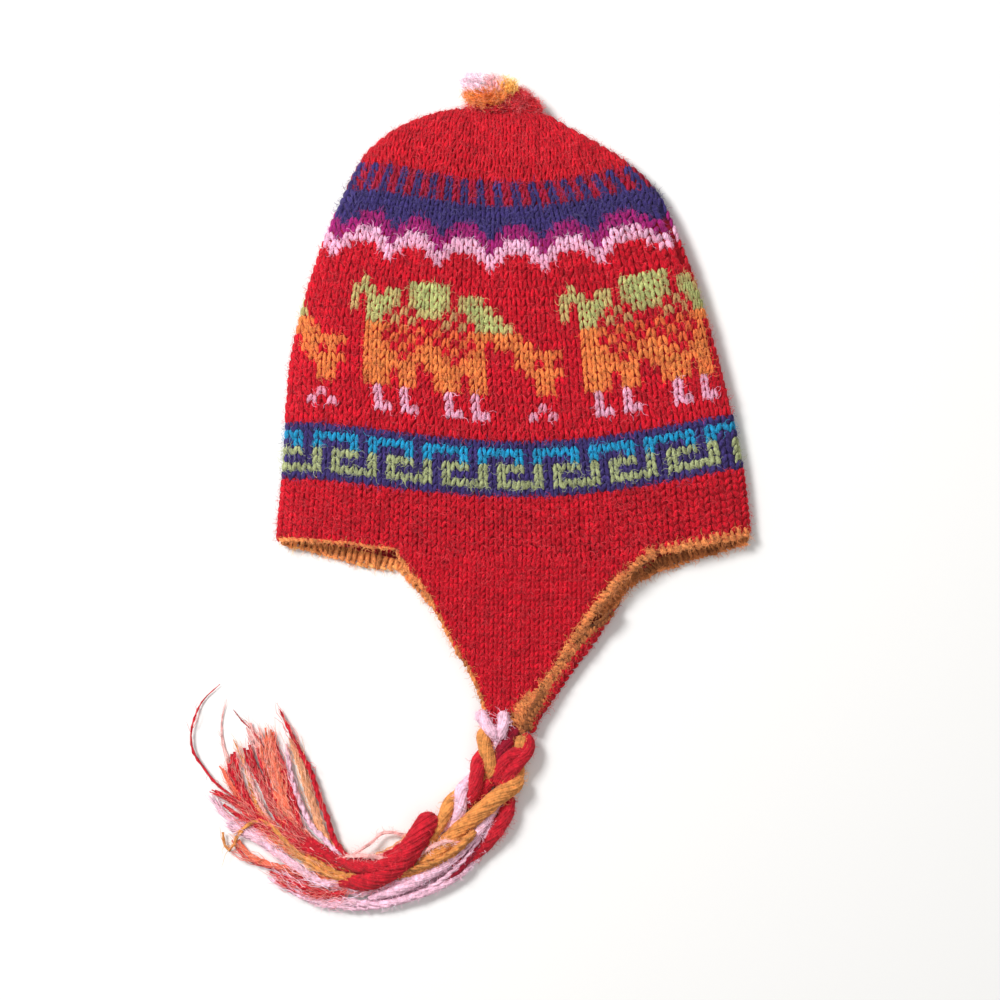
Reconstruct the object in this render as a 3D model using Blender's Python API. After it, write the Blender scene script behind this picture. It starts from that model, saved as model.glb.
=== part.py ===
"""A knitted ear-flap beanie lying flat on its side: metres, +Z up, +Y towards the crown.

The origin is on the underside of the lower layer, near the middle of the cap.
"""

import math

import bmesh
import bpy
from mathutils import Vector

MM = 0.001

# Cloth, trim and cords
WALL = 3.0 * MM
GAP = 0.35 * MM
EDGING_RADIUS = 2.2 * MM
EDGING_GAP = 0.5 * MM
FLOOR_CLEARANCE = 0.3 * MM
BRAID_DIAMETER = 12.0 * MM
WELD = 0.001 * MM

# The body lies flattened. Each course is a loop that runs over the upper layer from the left
# fold to the right one, and back under. A row holds how much knitting lies between the course and
# the rim, where both folds lie, how low the middles of the two layers hang, how much lower the
# course hangs on its right half than on its left, and how thick the two layers are (mm).
COURSE_COLUMNS = (
    "knitted", "left_x", "left_y", "right_x", "right_y", "upper_y", "lower_y", "lean", "loft"
)
COURSES = (
    (0.0, -128.0, -73.0, 128.0, -69.0, -84.0, -93.0, 6.5, 14.5),
    (16.0, -126.8, -57.5, 126.3, -52.5, -67.5, -72.5, 5.0, 15.5),
    (32.5, -125.2, -41.0, 124.0, -35.0, -50.5, -52.5, 4.5, 16.5),
    (63.0, -123.0, -10.0, 118.2, -5.5, -20.0, -20.0, 4.5, 18.0),
    (97.0, -120.6, 23.0, 110.7, 26.0, 13.5, 13.5, 4.5, 19.0),
    (129.0, -113.2, 55.0, 100.8, 60.0, 45.5, 45.5, 4.5, 20.0),
    (163.0, -102.6, 88.0, 88.6, 93.0, 79.5, 79.5, 4.5, 20.5),
    (184.0, -94.0, 108.0, 79.8, 111.5, 99.5, 99.5, 4.0, 20.0),
    (200.0, -86.5, 124.5, 69.5, 124.0, 114.0, 114.0, 4.5, 19.5),
    (213.0, -78.5, 136.5, 57.5, 133.8, 125.5, 125.5, 4.5, 19.0),
    (225.0, -67.0, 146.5, 45.0, 141.5, 135.5, 135.5, 4.0, 18.0),
    (237.0, -53.5, 153.5, 32.0, 148.8, 144.5, 144.5, 3.0, 16.5),
    (249.0, -38.0, 158.4, 19.0, 156.2, 152.0, 152.0, 1.5, 14.0),
    (261.0, -20.5, 160.6, 5.5, 160.0, 157.5, 157.5, 0.0, 10.0),
)
CROWN_POLE = Vector((-7.5, 161.0, 5.0)) * MM
BODY_POINTS_AROUND = 52
BODY_STEPS_ALONG = 25
FOLD_HEIGHT_SHARE = 0.42
UPPER_FLATNESS = 5.0
LOWER_FLATNESS = 12.0
ARC_SHARPNESS = 1.6
UNDERSIDE_TRIM = 0.15 * MM

# The flaps hang below the rim. A row is a section across the flap: where its edges lie, how high
# the middle of the cloth is (mm), and how far the right edge curls up and over (degrees).
FLAP_COLUMNS = ("y", "left_x", "right_x", "height", "curl")
NEAR_FLAP = (
    (-88.0, -57.0, 61.5, 12.7, 0.0),
    (-96.0, -49.8, 52.5, 11.9, 0.0),
    (-105.0, -44.2, 44.4, 11.0, 0.0),
    (-117.0, -38.0, 35.0, 9.9, 0.0),
    (-130.0, -31.3, 26.5, 8.8, 0.0),
    (-142.5, -23.8, 16.6, 7.8, 0.0),
    (-153.0, -18.3, 8.0, 7.1, 0.0),
    (-162.5, -15.8, 0.6, 6.7, 0.0),
    (-168.0, -12.5, -4.5, 6.6, 0.0),
)
NEAR_FLAP_ATTACH = (-63.5, 72.0)
FAR_FLAP = (
    (-99.5, -48.0, 61.0, 1.5, 10.0),
    (-107.0, -42.0, 56.8, 1.5, 50.0),
    (-114.5, -36.0, 51.8, 1.5, 105.0),
    (-125.0, -29.0, 45.0, 1.5, 155.0),
    (-141.0, -19.5, 33.0, 1.5, 165.0),
    (-152.0, -13.5, 25.2, 1.5, 165.0),
    (-162.0, -8.0, 18.5, 1.5, 145.0),
    (-170.0, -4.0, 13.2, 1.5, 80.0),
    (-177.0, -1.5, 9.3, 1.5, 0.0),
)
FAR_FLAP_ATTACH = (-60.5, 79.0)
CURL_LENGTH = 8.4 * MM
FLAP_STEPS_ACROSS = 15
FLAP_CURL_STEPS = 5
FLAP_STEPS_DOWN = 18

# The edging follows the hem: samples of the hem taken along the rim and the flap edges
RIM_HEM_STEPS = 220
FLAP_HEM_STEPS = 64
TIP_HEM_STEPS = 5
HEM_CORNER = math.radians(12.0)
EDGING_STEP = 5.0 * MM
EDGING_BEND = math.radians(6.0)
EDGING_BEVEL_RESOLUTION = 2

# The pompom: a core with locks fused to it, centres, half sizes (mm) and turn in plan (degrees)
POMPOM_COLUMNS = ("name", "x", "y", "z", "half_x", "half_y", "half_z", "turn")
POMPOM_LOCKS = (
    ("core", -8.0, 167.6, 10.0, 13.0, 6.4, 7.0, 0.0),
    ("root", -7.5, 165.0, 6.4, 7.0, 3.6, 4.0, 0.0),
    ("pink", -19.0, 173.2, 12.0, 8.6, 5.2, 5.4, -8.0),
    ("pink_low", -17.5, 169.0, 6.8, 8.0, 6.4, 4.6, 0.0),
    ("orange", -15.0, 165.2, 14.4, 10.8, 5.6, 5.2, 4.0),
    ("orange_tail", -24.0, 166.8, 10.6, 4.8, 4.4, 4.6, 0.0),
    ("amber", -3.0, 173.0, 10.8, 5.8, 5.2, 5.8, 10.0),
    ("red", 4.5, 165.4, 13.6, 9.2, 6.0, 5.2, -22.0),
    ("red_tip", 11.2, 162.8, 13.8, 4.8, 4.2, 3.4, -35.0),
    ("red_low", 1.0, 168.4, 6.6, 9.4, 5.8, 4.4, 0.0),
)
POMPOM_SEGMENTS = 12
POMPOM_RINGS = 8

# Braid routes from the flap tips to the tassels: x, y and height of the middle (mm)
NEAR_BRAID_ROUTE = (
    (-11.0, -174.9, 11.0),
    (-14.0, -186.6, 8.6),
    (-17.3, -199.5, 7.0),
    (-23.2, -210.3, 6.4),
    (-31.3, -220.0, 6.4),
    (-41.0, -228.7, 6.4),
    (-51.3, -236.3, 6.4),
)
FAR_BRAID_ROUTE = (
    (4.9, -182.9, 6.4),
    (3.3, -194.0, 6.4),
    (0.0, -205.0, 6.4),
    (-5.9, -216.8, 6.4),
    (-13.5, -228.7, 6.4),
    (-22.1, -239.5, 6.4),
    (-31.3, -248.3, 6.4),
)
BRAID_POINTS = 15
BRAID_BEVEL_RESOLUTION = 3

# Tassels: the head at the braid's end, then locks. A row gives a lock's turning point and its
# tip in plan, and its radius near the head and at the tip (mm).
LOCK_COLUMNS = ("bend_x", "bend_y", "tip_x", "tip_y", "root_radius", "tip_radius")
TASSEL_HEAD_RADIUS = 6.3 * MM
NEAR_TASSEL_LOCKS = (
    (-92.0, -243.0, -127.0, -166.0, 4.0, 1.4),
    (-97.0, -248.0, -138.0, -172.0, 4.4, 1.6),
    (-104.0, -252.0, -149.0, -170.0, 4.4, 1.4),
    (-109.0, -255.0, -154.5, -186.0, 4.6, 2.4),
    (-112.0, -257.0, -161.0, -204.0, 4.2, 1.6),
)
FAR_TASSEL_LOCKS = (
    (-84.0, -277.0, -157.0, -219.0, 4.0, 1.8),
    (-80.0, -280.0, -153.0, -229.0, 4.0, 2.0),
    (-76.0, -283.0, -146.0, -240.0, 4.0, 1.8),
    (-74.0, -286.0, -136.0, -250.0, 3.6, 1.4),
)
LOCK_SIDES = 7
LOCK_STEPS = 12

# Colours, plain in this model: base colour and roughness
FINISHES = {
    "red_knit": ((0.58, 0.02, 0.03, 1.0), 0.95),
    "orange_crochet": ((0.62, 0.22, 0.06, 1.0), 0.95),
    "pompom_yarn": ((0.85, 0.32, 0.20, 1.0), 0.95),
    "braid_yarn": ((0.75, 0.30, 0.22, 1.0), 0.95),
    "tassel_yarn": ((0.72, 0.08, 0.10, 1.0), 0.95),
}


def smooth_value(values, position, places=None):
    """The value at a position on a smooth curve through the values. They stand at the given
    places, or else at 0, 1, 2 and so on."""
    last = len(values) - 1
    places = places or range(last + 1)
    start = 0
    while start < last - 1 and position >= places[start + 1]:
        start += 1

    def slope(index):
        low = max(index - 1, 0)
        high = min(index + 1, last)
        return (values[high] - values[low]) / (places[high] - places[low])

    length = places[start + 1] - places[start]
    share = (position - places[start]) / length
    square = share * share
    cube = square * share
    return (
        values[start] * (2 * cube - 3 * square + 1)
        + slope(start) * length * (cube - 2 * square + share)
        + values[start + 1] * (3 * square - 2 * cube)
        + slope(start + 1) * length * (cube - square)
    )


def course_at(knitted):
    """The sizes of the course that has so much knitting, in metres, between it and the rim."""
    columns = list(zip(*COURSES))
    sizes = [smooth_value(column, knitted / MM, columns[0]) * MM for column in columns]
    return dict(zip(COURSE_COLUMNS, sizes))


def body_point(knitted, turn, depth=0.0):
    """A point on the course that lies so far from the rim. Turn 0 is the left fold, and the upper
    layer comes first. depth is how far inside the outer surface the point lies."""
    course = course_at(knitted)
    side = -math.cos(turn)
    upper = math.sin(turn) >= 0.0
    middle_x = (course["left_x"] + course["right_x"]) / 2
    half_width = (course["right_x"] - course["left_x"]) / 2 - depth
    share = (1.0 + side) / 2
    straight_y = course["left_y"] + (course["right_y"] - course["left_y"]) * share
    middle_y = (course["left_y"] + course["right_y"]) / 2
    hang = (course["upper_y"] if upper else course["lower_y"]) - middle_y
    arc = 4 * share * (1 - share)
    y = straight_y + hang * arc**ARC_SHARPNESS - course["lean"] * arc * side
    fold_height = course["loft"] * FOLD_HEIGHT_SHARE
    flatness = UPPER_FLATNESS if upper else LOWER_FLATNESS
    swell = math.sqrt(max(0.0, 1.0 - abs(side) ** flatness))
    if upper:
        z = fold_height + (course["loft"] - fold_height - depth) * swell
    else:
        z = fold_height - (fold_height - depth) * swell
        z = max(depth, z - UNDERSIDE_TRIM)
    return Vector((middle_x + half_width * side, y, z))


def rim_turn(x, upper):
    """The turn at which the rim passes x, on the upper or the lower layer."""
    course = course_at(0.0)
    half_width = (course["right_x"] - course["left_x"]) / 2 - WALL / 2
    side = (x - (course["left_x"] + course["right_x"]) / 2) / half_width
    turn = math.acos(-side)
    return turn if upper else 2 * math.pi - turn


def rim_point(turn):
    """The middle of the wall's edge at the rim."""
    return body_point(0.0, turn, WALL / 2)


def mapped_grid(name, steps_across, steps_along, place):
    """A sheet made from a flat grid, each corner moved to place(u, v) with u and v from 0 to 1.
    Corners that meet are welded, which closes a tube and its poles."""
    sheet = bmesh.new()
    bmesh.ops.create_grid(sheet, x_segments=steps_across, y_segments=steps_along, size=0.5)
    for corner in sheet.verts:
        corner.co = place(corner.co.x + 0.5, corner.co.y + 0.5)
    bmesh.ops.remove_doubles(sheet, verts=sheet.verts, dist=WELD)
    bmesh.ops.dissolve_degenerate(sheet, edges=sheet.edges, dist=WELD)
    bmesh.ops.recalc_face_normals(sheet, faces=sheet.faces)
    mesh = bpy.data.meshes.new(name)
    sheet.to_mesh(mesh)
    sheet.free()
    mesh.shade_smooth()
    return mesh


def add_object(name, data, finish):
    """Put a mesh or a curve into the scene under its name, with its material."""
    item = bpy.data.objects.new(name, data)
    bpy.context.scene.collection.objects.link(item)
    item.data.materials.append(material(finish))
    return item


def material(name):
    """The plain material of one finish, made once."""
    if name in bpy.data.materials:
        return bpy.data.materials[name]
    colour, roughness = FINISHES[name]
    made = bpy.data.materials.new(name)
    made.use_nodes = True
    shader = made.node_tree.nodes["Principled BSDF"]
    shader.inputs["Base Color"].default_value = colour
    shader.inputs["Roughness"].default_value = roughness
    return made


def add_wall(item, offset):
    """Give a sheet the thickness of the knitted cloth."""
    wall = item.modifiers.new("knitted_wall", "SOLIDIFY")
    wall.thickness = WALL
    wall.offset = offset
    wall.use_even_offset = True


def build_body():
    """The cap: the outer surface from the rim to the crown's pole, with its wall inside."""
    crown_top = COURSES[-1][0] * MM

    def place(u, v):
        if v > 1.0 - 0.5 / BODY_STEPS_ALONG:
            return CROWN_POLE
        share = v / (1.0 - 1.0 / BODY_STEPS_ALONG)
        return body_point(min(share, 1.0) * crown_top, 2 * math.pi * u)

    mesh = mapped_grid("knit_body", BODY_POINTS_AROUND, BODY_STEPS_ALONG, place)
    body = add_object("knit_body", mesh, "red_knit")
    add_wall(body, -1.0)
    return body


def flat_share(rows):
    """The share of the steps across a flap that its flat part takes: all, if no edge curls."""
    curls = any(row[FLAP_COLUMNS.index("curl")] for row in rows)
    return 1.0 - FLAP_CURL_STEPS / FLAP_STEPS_ACROSS if curls else 1.0


def flap_section(row, u, flat):
    """A point across one row of a flap: flat from the left edge, then the curl of the right one."""
    sizes = dict(zip(FLAP_COLUMNS, row))
    left = sizes["left_x"] * MM
    right = sizes["right_x"] * MM
    height = sizes["height"] * MM
    y = sizes["y"] * MM
    curl = math.radians(sizes["curl"])
    if curl == 0.0:
        return Vector((left + (right - left) * u, y, height))
    radius = CURL_LENGTH / curl
    bend_x = right - radius * math.sin(min(curl, math.pi / 2))
    if u <= flat:
        return Vector((left + (bend_x - left) * u / flat, y, height))
    turned = curl * (u - flat) / (1.0 - flat)
    rise = radius * (1.0 - math.cos(turned))
    return Vector((bend_x + radius * math.sin(turned), y, height + rise))


def flap_top(attach, upper, u, flat):
    """A point just under the rim, where a flap begins."""
    left = attach[0] * MM
    right = attach[1] * MM
    if flat == 1.0:
        x = left + (right - left) * u
    elif u <= flat:
        x = left + (right - CURL_LENGTH - left) * u / flat
    else:
        x = right - CURL_LENGTH * (1.0 - u) / (1.0 - flat)
    return rim_point(rim_turn(x, upper)) - Vector((0.0, GAP, 0.0))


def flap_point(rows, attach, upper, u, v):
    """A point on the middle surface of a flap: v is 0 under the rim and 1 at the tip."""
    flat = flat_share(rows)
    sections = [flap_top(attach, upper, u, flat)] + [flap_section(row, u, flat) for row in rows]
    middle = flap_top(attach, upper, 0.5, flat)
    places = [-middle.y] + [-row[0] * MM for row in rows]
    place = places[0] + (places[-1] - places[0]) * v
    return Vector([smooth_value(axis, place, places) for axis in zip(*sections)])


def build_flap(name, rows, attach, upper):
    """One ear flap, a single curved wall that hangs from the rim."""
    mesh = mapped_grid(
        name,
        FLAP_STEPS_ACROSS,
        FLAP_STEPS_DOWN,
        lambda u, v: flap_point(rows, attach, upper, u, v),
    )
    flap = add_object(name, mesh, "red_knit")
    add_wall(flap, 0.0)
    return flap


def flap_hem(rows, attach, upper):
    """The hem of a flap from its left corner round the tip to its right corner, as pairs of a
    point on the cloth's edge and the direction that the edge faces."""
    nudge = 0.01

    def point(u, v):
        return flap_point(rows, attach, upper, u, v)

    def side(u, v):
        inner = 1 if u == 0.0 else -1
        across = (point(u, v) - point(u + inner * nudge, v)).normalized()
        down = (point(u, min(v + nudge, 1.0)) - point(u, max(v - nudge, 0.0))).normalized()
        return (across - down * across.dot(down)).normalized()

    steps = [step / FLAP_HEM_STEPS for step in range(1, FLAP_HEM_STEPS + 1)]
    left = [(point(0.0, v), side(0.0, v)) for v in steps]
    tip = []
    for step in range(TIP_HEM_STEPS + 1):
        u = step / TIP_HEM_STEPS
        across = (point(min(u + nudge, 1.0), 1.0) - point(max(u - nudge, 0.0), 1.0)).normalized()
        down = point(u, 1.0) - point(u, 1.0 - nudge)
        tip.append((point(u, 1.0), (down - across * down.dot(across)).normalized()))
    right = [(point(1.0, v), side(1.0, v)) for v in reversed(steps)]
    return left + tip + right


def rim_facing(turn):
    """The direction that the rim's edge faces: away from the crown, square to the rim."""
    nudge = 0.01
    along = (rim_point(turn + nudge) - rim_point(turn - nudge)).normalized()
    down = Vector((0.0, -1.0, 0.0))
    return (down - along * down.dot(along)).normalized()


def whole_hem():
    """The hem once round: the upper rim with the near flap, then the lower rim with the far one."""
    near_turns = [rim_turn(x * MM, True) for x in NEAR_FLAP_ATTACH]
    far_turns = [rim_turn(x * MM, False) for x in FAR_FLAP_ATTACH]
    near_hem = flap_hem(NEAR_FLAP, NEAR_FLAP_ATTACH, True)
    far_hem = list(reversed(flap_hem(FAR_FLAP, FAR_FLAP_ATTACH, False)))
    hem = []
    for step in range(RIM_HEM_STEPS):
        turn = 2 * math.pi * step / RIM_HEM_STEPS
        if near_turns[0] <= turn <= near_turns[1]:
            hem += near_hem
            near_hem = []
        elif far_turns[1] <= turn <= far_turns[0]:
            hem += far_hem
            far_hem = []
        else:
            hem.append((rim_point(turn), rim_facing(turn)))
    return hem


def round_corners(hem):
    """Add samples where the hem turns a corner, so that the edging goes round it in an arc."""
    rounded = []
    for index, (point, facing) in enumerate(hem):
        before_point, before_facing = hem[index - 1]
        bend = before_facing.angle(facing)
        extra = int(bend / HEM_CORNER)
        for step in range(1, extra + 1):
            share = step / (extra + 1)
            rounded.append((before_point.lerp(point, share), before_facing.slerp(facing, share)))
        rounded.append((point, facing))
    return rounded


def edging_route():
    """The middle line of the edging: beside the hem, clear of the cloth and of the floor."""
    reach = EDGING_RADIUS + EDGING_GAP
    hem = round_corners(whole_hem())
    edges = [point for point, _ in hem]
    route = []
    for point, facing in hem:
        level = Vector((facing.x, facing.y, max(facing.z, 0.0))).normalized()
        centre = point + level * reach
        centre.z = max(centre.z, EDGING_RADIUS + FLOOR_CLEARANCE)
        clear = min((centre - edge).length for edge in edges)
        if clear < reach * 0.97:
            continue
        if route and (centre - route[-1]).length < 0.6 * MM:
            continue
        route.append(centre)
    return route


def thinned(route, step, bend):
    """Leave out points of a closed route where it runs straight, keeping those where it bends."""
    kept = [route[0]]
    for index in range(1, len(route) - 1):
        ahead = route[index + 1] - route[index]
        behind = route[index] - kept[-1]
        if behind.length >= step or behind.angle(ahead) >= bend:
            kept.append(route[index])
    return kept


def tube_curve(name, points, radius, bevel_resolution, closed):
    """A round tube along points, as a curve with a bevel."""
    curve = bpy.data.curves.new(name, "CURVE")
    curve.dimensions = "3D"
    curve.bevel_depth = radius
    curve.bevel_resolution = bevel_resolution
    curve.use_fill_caps = not closed
    spline = curve.splines.new("POLY")
    spline.points.add(len(points) - 1)
    for knot, point in zip(spline.points, points):
        knot.co = (*point, 1.0)
    spline.use_cyclic_u = closed
    return curve


def build_edging():
    """The crocheted edging, one closed cord along the whole hem."""
    route = thinned(edging_route(), EDGING_STEP, EDGING_BEND)
    curve = tube_curve("edging", route, EDGING_RADIUS, EDGING_BEVEL_RESOLUTION, True)
    return add_object("edging", curve, "orange_crochet")


def fuse(item, others):
    """Fuse other closed shapes into an item with Boolean unions."""
    for other in others:
        other.hide_render = True
        other.display_type = "WIRE"
        union = item.modifiers.new(other.name, "BOOLEAN")
        union.operation = "UNION"
        union.solver = "EXACT"
        union.object = other


def lock_ball(name, sizes):
    """One rounded lock of the pompom."""
    ball = bmesh.new()
    bmesh.ops.create_uvsphere(ball, u_segments=POMPOM_SEGMENTS, v_segments=POMPOM_RINGS, radius=1.0)
    turn = math.radians(sizes["turn"])
    for corner in ball.verts:
        x = corner.co.x * sizes["half_x"]
        y = corner.co.y * sizes["half_y"]
        corner.co = (
            (sizes["x"] + x * math.cos(turn) - y * math.sin(turn)) * MM,
            (sizes["y"] + x * math.sin(turn) + y * math.cos(turn)) * MM,
            (sizes["z"] + corner.co.z * sizes["half_z"]) * MM,
        )
    mesh = bpy.data.meshes.new(name)
    ball.to_mesh(mesh)
    ball.free()
    mesh.shade_smooth()
    return add_object(name, mesh, "pompom_yarn")


def build_pompom():
    """The pompom, its locks fused to the core."""
    rows = [dict(zip(POMPOM_COLUMNS, row)) for row in POMPOM_LOCKS]
    core = lock_ball("pompom", rows[0])
    fuse(core, [lock_ball("lock_" + row["name"], row) for row in rows[1:]])
    return core


def smooth_route(points, count):
    """Points evenly placed on a smooth curve through a route given in millimetres."""
    axes = [[point[axis] * MM for point in points] for axis in range(3)]
    places = [step * (len(points) - 1) / (count - 1) for step in range(count)]
    return [Vector([smooth_value(axis, place) for axis in axes]) for place in places]


def build_braid(name, route):
    """One braid, plain: a tube along its route."""
    points = smooth_route(route, BRAID_POINTS)
    curve = tube_curve(name, points, BRAID_DIAMETER / 2, BRAID_BEVEL_RESOLUTION, False)
    return add_object(name, curve, "braid_yarn")


def lock_strand(name, head, sizes):
    """One tassel lock: a tapering tube that leaves the head, bends and lies on the floor."""
    bend = Vector((sizes["bend_x"], sizes["bend_y"], 0.0)) * MM
    tip = Vector((sizes["tip_x"], sizes["tip_y"], 0.0)) * MM
    root_radius = sizes["root_radius"] * MM
    tip_radius = sizes["tip_radius"] * MM

    def middle(v):
        radius = root_radius + (tip_radius - root_radius) * v
        point = head * (1 - v) ** 2 + bend * (2 * v * (1 - v)) + tip * v**2
        sink = max(0.0, 1.0 - v * 3.0)
        point.z = radius + (head.z - radius) * sink * sink
        return point, radius

    def place(u, v):
        point, radius = middle(v)
        ahead = middle(min(v + 0.01, 1.0))[0] - middle(max(v - 0.01, 0.0))[0]
        across = Vector((-ahead.y, ahead.x, 0.0)).normalized()
        if v < 0.5 / LOCK_STEPS or v > 1.0 - 0.5 / LOCK_STEPS:
            return point
        turn = 2 * math.pi * u - math.pi / 2
        return point + (across * math.cos(turn) + Vector((0, 0, 1)) * math.sin(turn)) * radius

    return add_object(name, mapped_grid(name, LOCK_SIDES, LOCK_STEPS, place), "tassel_yarn")


def tassel_head(route):
    """The middle of a tassel's head, face to face with the end of its braid."""
    end, before = [points for points in reversed(smooth_route(route, BRAID_POINTS))][:2]
    return end + (end - before).normalized() * (TASSEL_HEAD_RADIUS + GAP)


def build_tassel(name, route, rows):
    """One tassel: a round head at the braid's end, with its locks fused to it."""
    head = tassel_head(route)
    sizes = {"turn": 0.0}
    for axis in "xyz":
        sizes[axis] = getattr(head, axis) / MM
        sizes["half_" + axis] = TASSEL_HEAD_RADIUS / MM
    tassel = lock_ball(name, sizes)
    tassel.data.materials[0] = material("tassel_yarn")
    locks = [dict(zip(LOCK_COLUMNS, row)) for row in rows]
    fuse(tassel, [lock_strand(f"{name}_lock_{i}", head, lock) for i, lock in enumerate(locks)])
    return tassel


def main():
    """Clear the scene and build every piece."""
    for item in list(bpy.data.objects):
        bpy.data.objects.remove(item)
    build_body()
    build_flap("ear_flap_near", NEAR_FLAP, NEAR_FLAP_ATTACH, True)
    build_flap("ear_flap_far", FAR_FLAP, FAR_FLAP_ATTACH, False)
    build_edging()
    build_pompom()
    build_braid("braid_near", NEAR_BRAID_ROUTE)
    build_braid("braid_far", FAR_BRAID_ROUTE)
    build_tassel("tassel_near", NEAR_BRAID_ROUTE, NEAR_TASSEL_LOCKS)
    build_tassel("tassel_far", FAR_BRAID_ROUTE, FAR_TASSEL_LOCKS)


main()
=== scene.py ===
"""Looks of a hand-knitted ear-flap beanie that lies flat on its side, seen from above.

Everything is in metres: +Z up, +Y towards the crown. The floor is at Z = 0.
"""

from __future__ import annotations

import logging
import math
import random
from dataclasses import dataclass, field
from enum import Enum
from typing import Callable, Iterable, Iterator, Sequence

import bmesh
import bpy
import numpy as np
from bpy.types import Material, Mesh, Node, NodeSocket, NodeTree, Object
from mathutils import Matrix, Quaternion, Vector

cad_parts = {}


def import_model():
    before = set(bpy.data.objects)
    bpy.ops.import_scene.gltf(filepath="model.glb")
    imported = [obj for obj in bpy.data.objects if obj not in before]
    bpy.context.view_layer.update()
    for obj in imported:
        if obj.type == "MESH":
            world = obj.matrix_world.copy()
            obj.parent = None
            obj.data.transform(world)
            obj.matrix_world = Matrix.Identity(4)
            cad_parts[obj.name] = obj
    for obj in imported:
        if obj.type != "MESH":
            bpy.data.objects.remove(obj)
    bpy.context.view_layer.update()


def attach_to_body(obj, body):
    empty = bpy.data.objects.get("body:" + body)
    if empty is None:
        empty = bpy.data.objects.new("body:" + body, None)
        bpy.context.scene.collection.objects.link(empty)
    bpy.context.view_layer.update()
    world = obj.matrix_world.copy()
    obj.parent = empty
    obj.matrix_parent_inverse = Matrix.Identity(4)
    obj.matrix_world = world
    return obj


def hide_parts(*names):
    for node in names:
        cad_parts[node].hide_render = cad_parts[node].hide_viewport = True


LOG = logging.getLogger("beanie")
MM = 0.001
COLOUR = "yarn_colour"
FIBRE = "fibre_place"
SEED = 7
UP = Vector((0.0, 0.0, 1.0))
WELD = 0.001 * MM
NUDGE = 0.012
STITCH_DEPTH = 4.6 * MM
THREAD_SEAT = Vector((2.0, 2.0, 3.4))


class Yarn(Enum):
    """The dyed yarns, as linear colours. TIE_WINE is the ties' red painted darker as shade."""

    RED = (0.56, 0.006, 0.020)
    CROWN_RED = (0.55, 0.008, 0.021)
    SHADED_RED = (0.36, 0.008, 0.035)
    INDIGO = (0.043, 0.030, 0.150)
    MAGENTA = (0.34, 0.013, 0.155)
    PINK = (0.86, 0.47, 0.65)
    ORANGE = (0.80, 0.235, 0.060)
    LEAF = (0.47, 0.50, 0.185)
    SAGE = (0.37, 0.41, 0.20)
    CYAN = (0.010, 0.30, 0.55)
    TRIM = (0.68, 0.225, 0.070)
    TIE_PINK = (0.82, 0.50, 0.62)
    TIE_ORANGE = (0.68, 0.265, 0.072)
    TIE_RED = (0.52, 0.012, 0.026)
    # Painted shade: the ties' red yarn painted darker where it lies in shadow.
    TIE_WINE = (0.26, 0.006, 0.022)
    TIE_CORAL = (0.80, 0.16, 0.085)
    TIE_TAN = (0.66, 0.30, 0.15)
    TIE_PALE = (0.88, 0.46, 0.44)
    POM_PALE = (0.92, 0.62, 0.72)
    POM_PINK = (0.93, 0.46, 0.48)
    POM_ORANGE = (0.83, 0.22, 0.045)
    POM_AMBER = (0.92, 0.42, 0.09)


def smooth_value(values: Sequence[float], position: float, places: Sequence[float]) -> float:
    """Read a smooth curve through values.

    Args:
        values: The heights of the curve's knots.
        position: Where to read it.
        places: Where the knots stand, rising.

    Returns:
        The curve's height there.
    """
    last = len(values) - 1
    start = 0
    while start < last - 1 and position >= places[start + 1]:
        start += 1

    def slope(index: int) -> float:
        """The slope at a knot."""
        low = max(index - 1, 0)
        high = min(index + 1, last)
        return (values[high] - values[low]) / (places[high] - places[low])

    length = places[start + 1] - places[start]
    share = (position - places[start]) / length
    square = share * share
    cube = square * share
    return (
        values[start] * (2 * cube - 3 * square + 1)
        + slope(start) * length * (cube - 2 * square + share)
        + values[start + 1] * (3 * square - 2 * cube)
        + slope(start + 1) * length * (cube - square)
    )


def link(item: Object) -> Object:
    """Put an object into the scene."""
    bpy.context.scene.collection.objects.link(item)
    return item


def mesh_of(name: str, form: bmesh.types.BMesh) -> Mesh:
    """Make a mesh of a finished bmesh, which is freed.

    Args:
        name: The mesh's name.
        form: The bmesh.

    Returns:
        The mesh.
    """
    mesh = bpy.data.meshes.new(name)
    form.to_mesh(mesh)
    form.free()
    return mesh


def lit(dye: Sequence[float], light: float) -> tuple[float, ...]:
    """A dye made lighter or darker."""
    return tuple(min(1.0, part * light) for part in dye)


def scatter(dice: random.Random, spread: float, size: int) -> Vector:
    """A random step, with the same spread along each axis."""
    return Vector([dice.gauss(0.0, spread) for _ in range(size)])


def tangents(line: Sequence[Vector]) -> Iterator[Vector]:
    """The direction of a line at each of its points."""
    last = len(line) - 1
    for index in range(len(line)):
        yield (line[min(index + 1, last)] - line[max(index - 1, 0)]).normalized()


def lengths_along(line: Sequence[Vector]) -> list[float]:
    """How long a line is up to each of its points.

    Args:
        line: The line's points.

    Returns:
        A length for each point, 0 first.
    """
    lengths = [0.0]
    for before, after in zip(line, line[1:]):
        lengths.append(lengths[-1] + (after - before).length)
    return lengths


def piece_from(name: str, mesh: Mesh, material: Material) -> Object:
    """Make a finished piece of a mesh.

    Args:
        name: The piece's name.
        mesh: Its mesh, in place.
        material: Its finish.

    Returns:
        The piece, linked, shaded smooth and riding on the hat.
    """
    mesh.materials.clear()
    mesh.materials.append(material)
    mesh.shade_smooth()
    item = link(bpy.data.objects.new(name, mesh))
    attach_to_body(item, "root")
    return item


@dataclass
class Place:
    """Where one copy of a small shape goes."""

    point: Vector
    turn: Quaternion
    size: Vector
    colour: tuple[float, float, float]


def axes_turn(across: Vector, normal: Vector) -> Quaternion:
    """The turn that takes X to across and Z to normal.

    Args:
        across: Where X goes, made square to Z.
        normal: Where Z goes.

    Returns:
        The turn.
    """
    third = normal.normalized()
    first = (across - third * across.dot(third)).normalized()
    second = third.cross(first)
    return Matrix((first, second, third)).transposed().to_quaternion()


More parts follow.
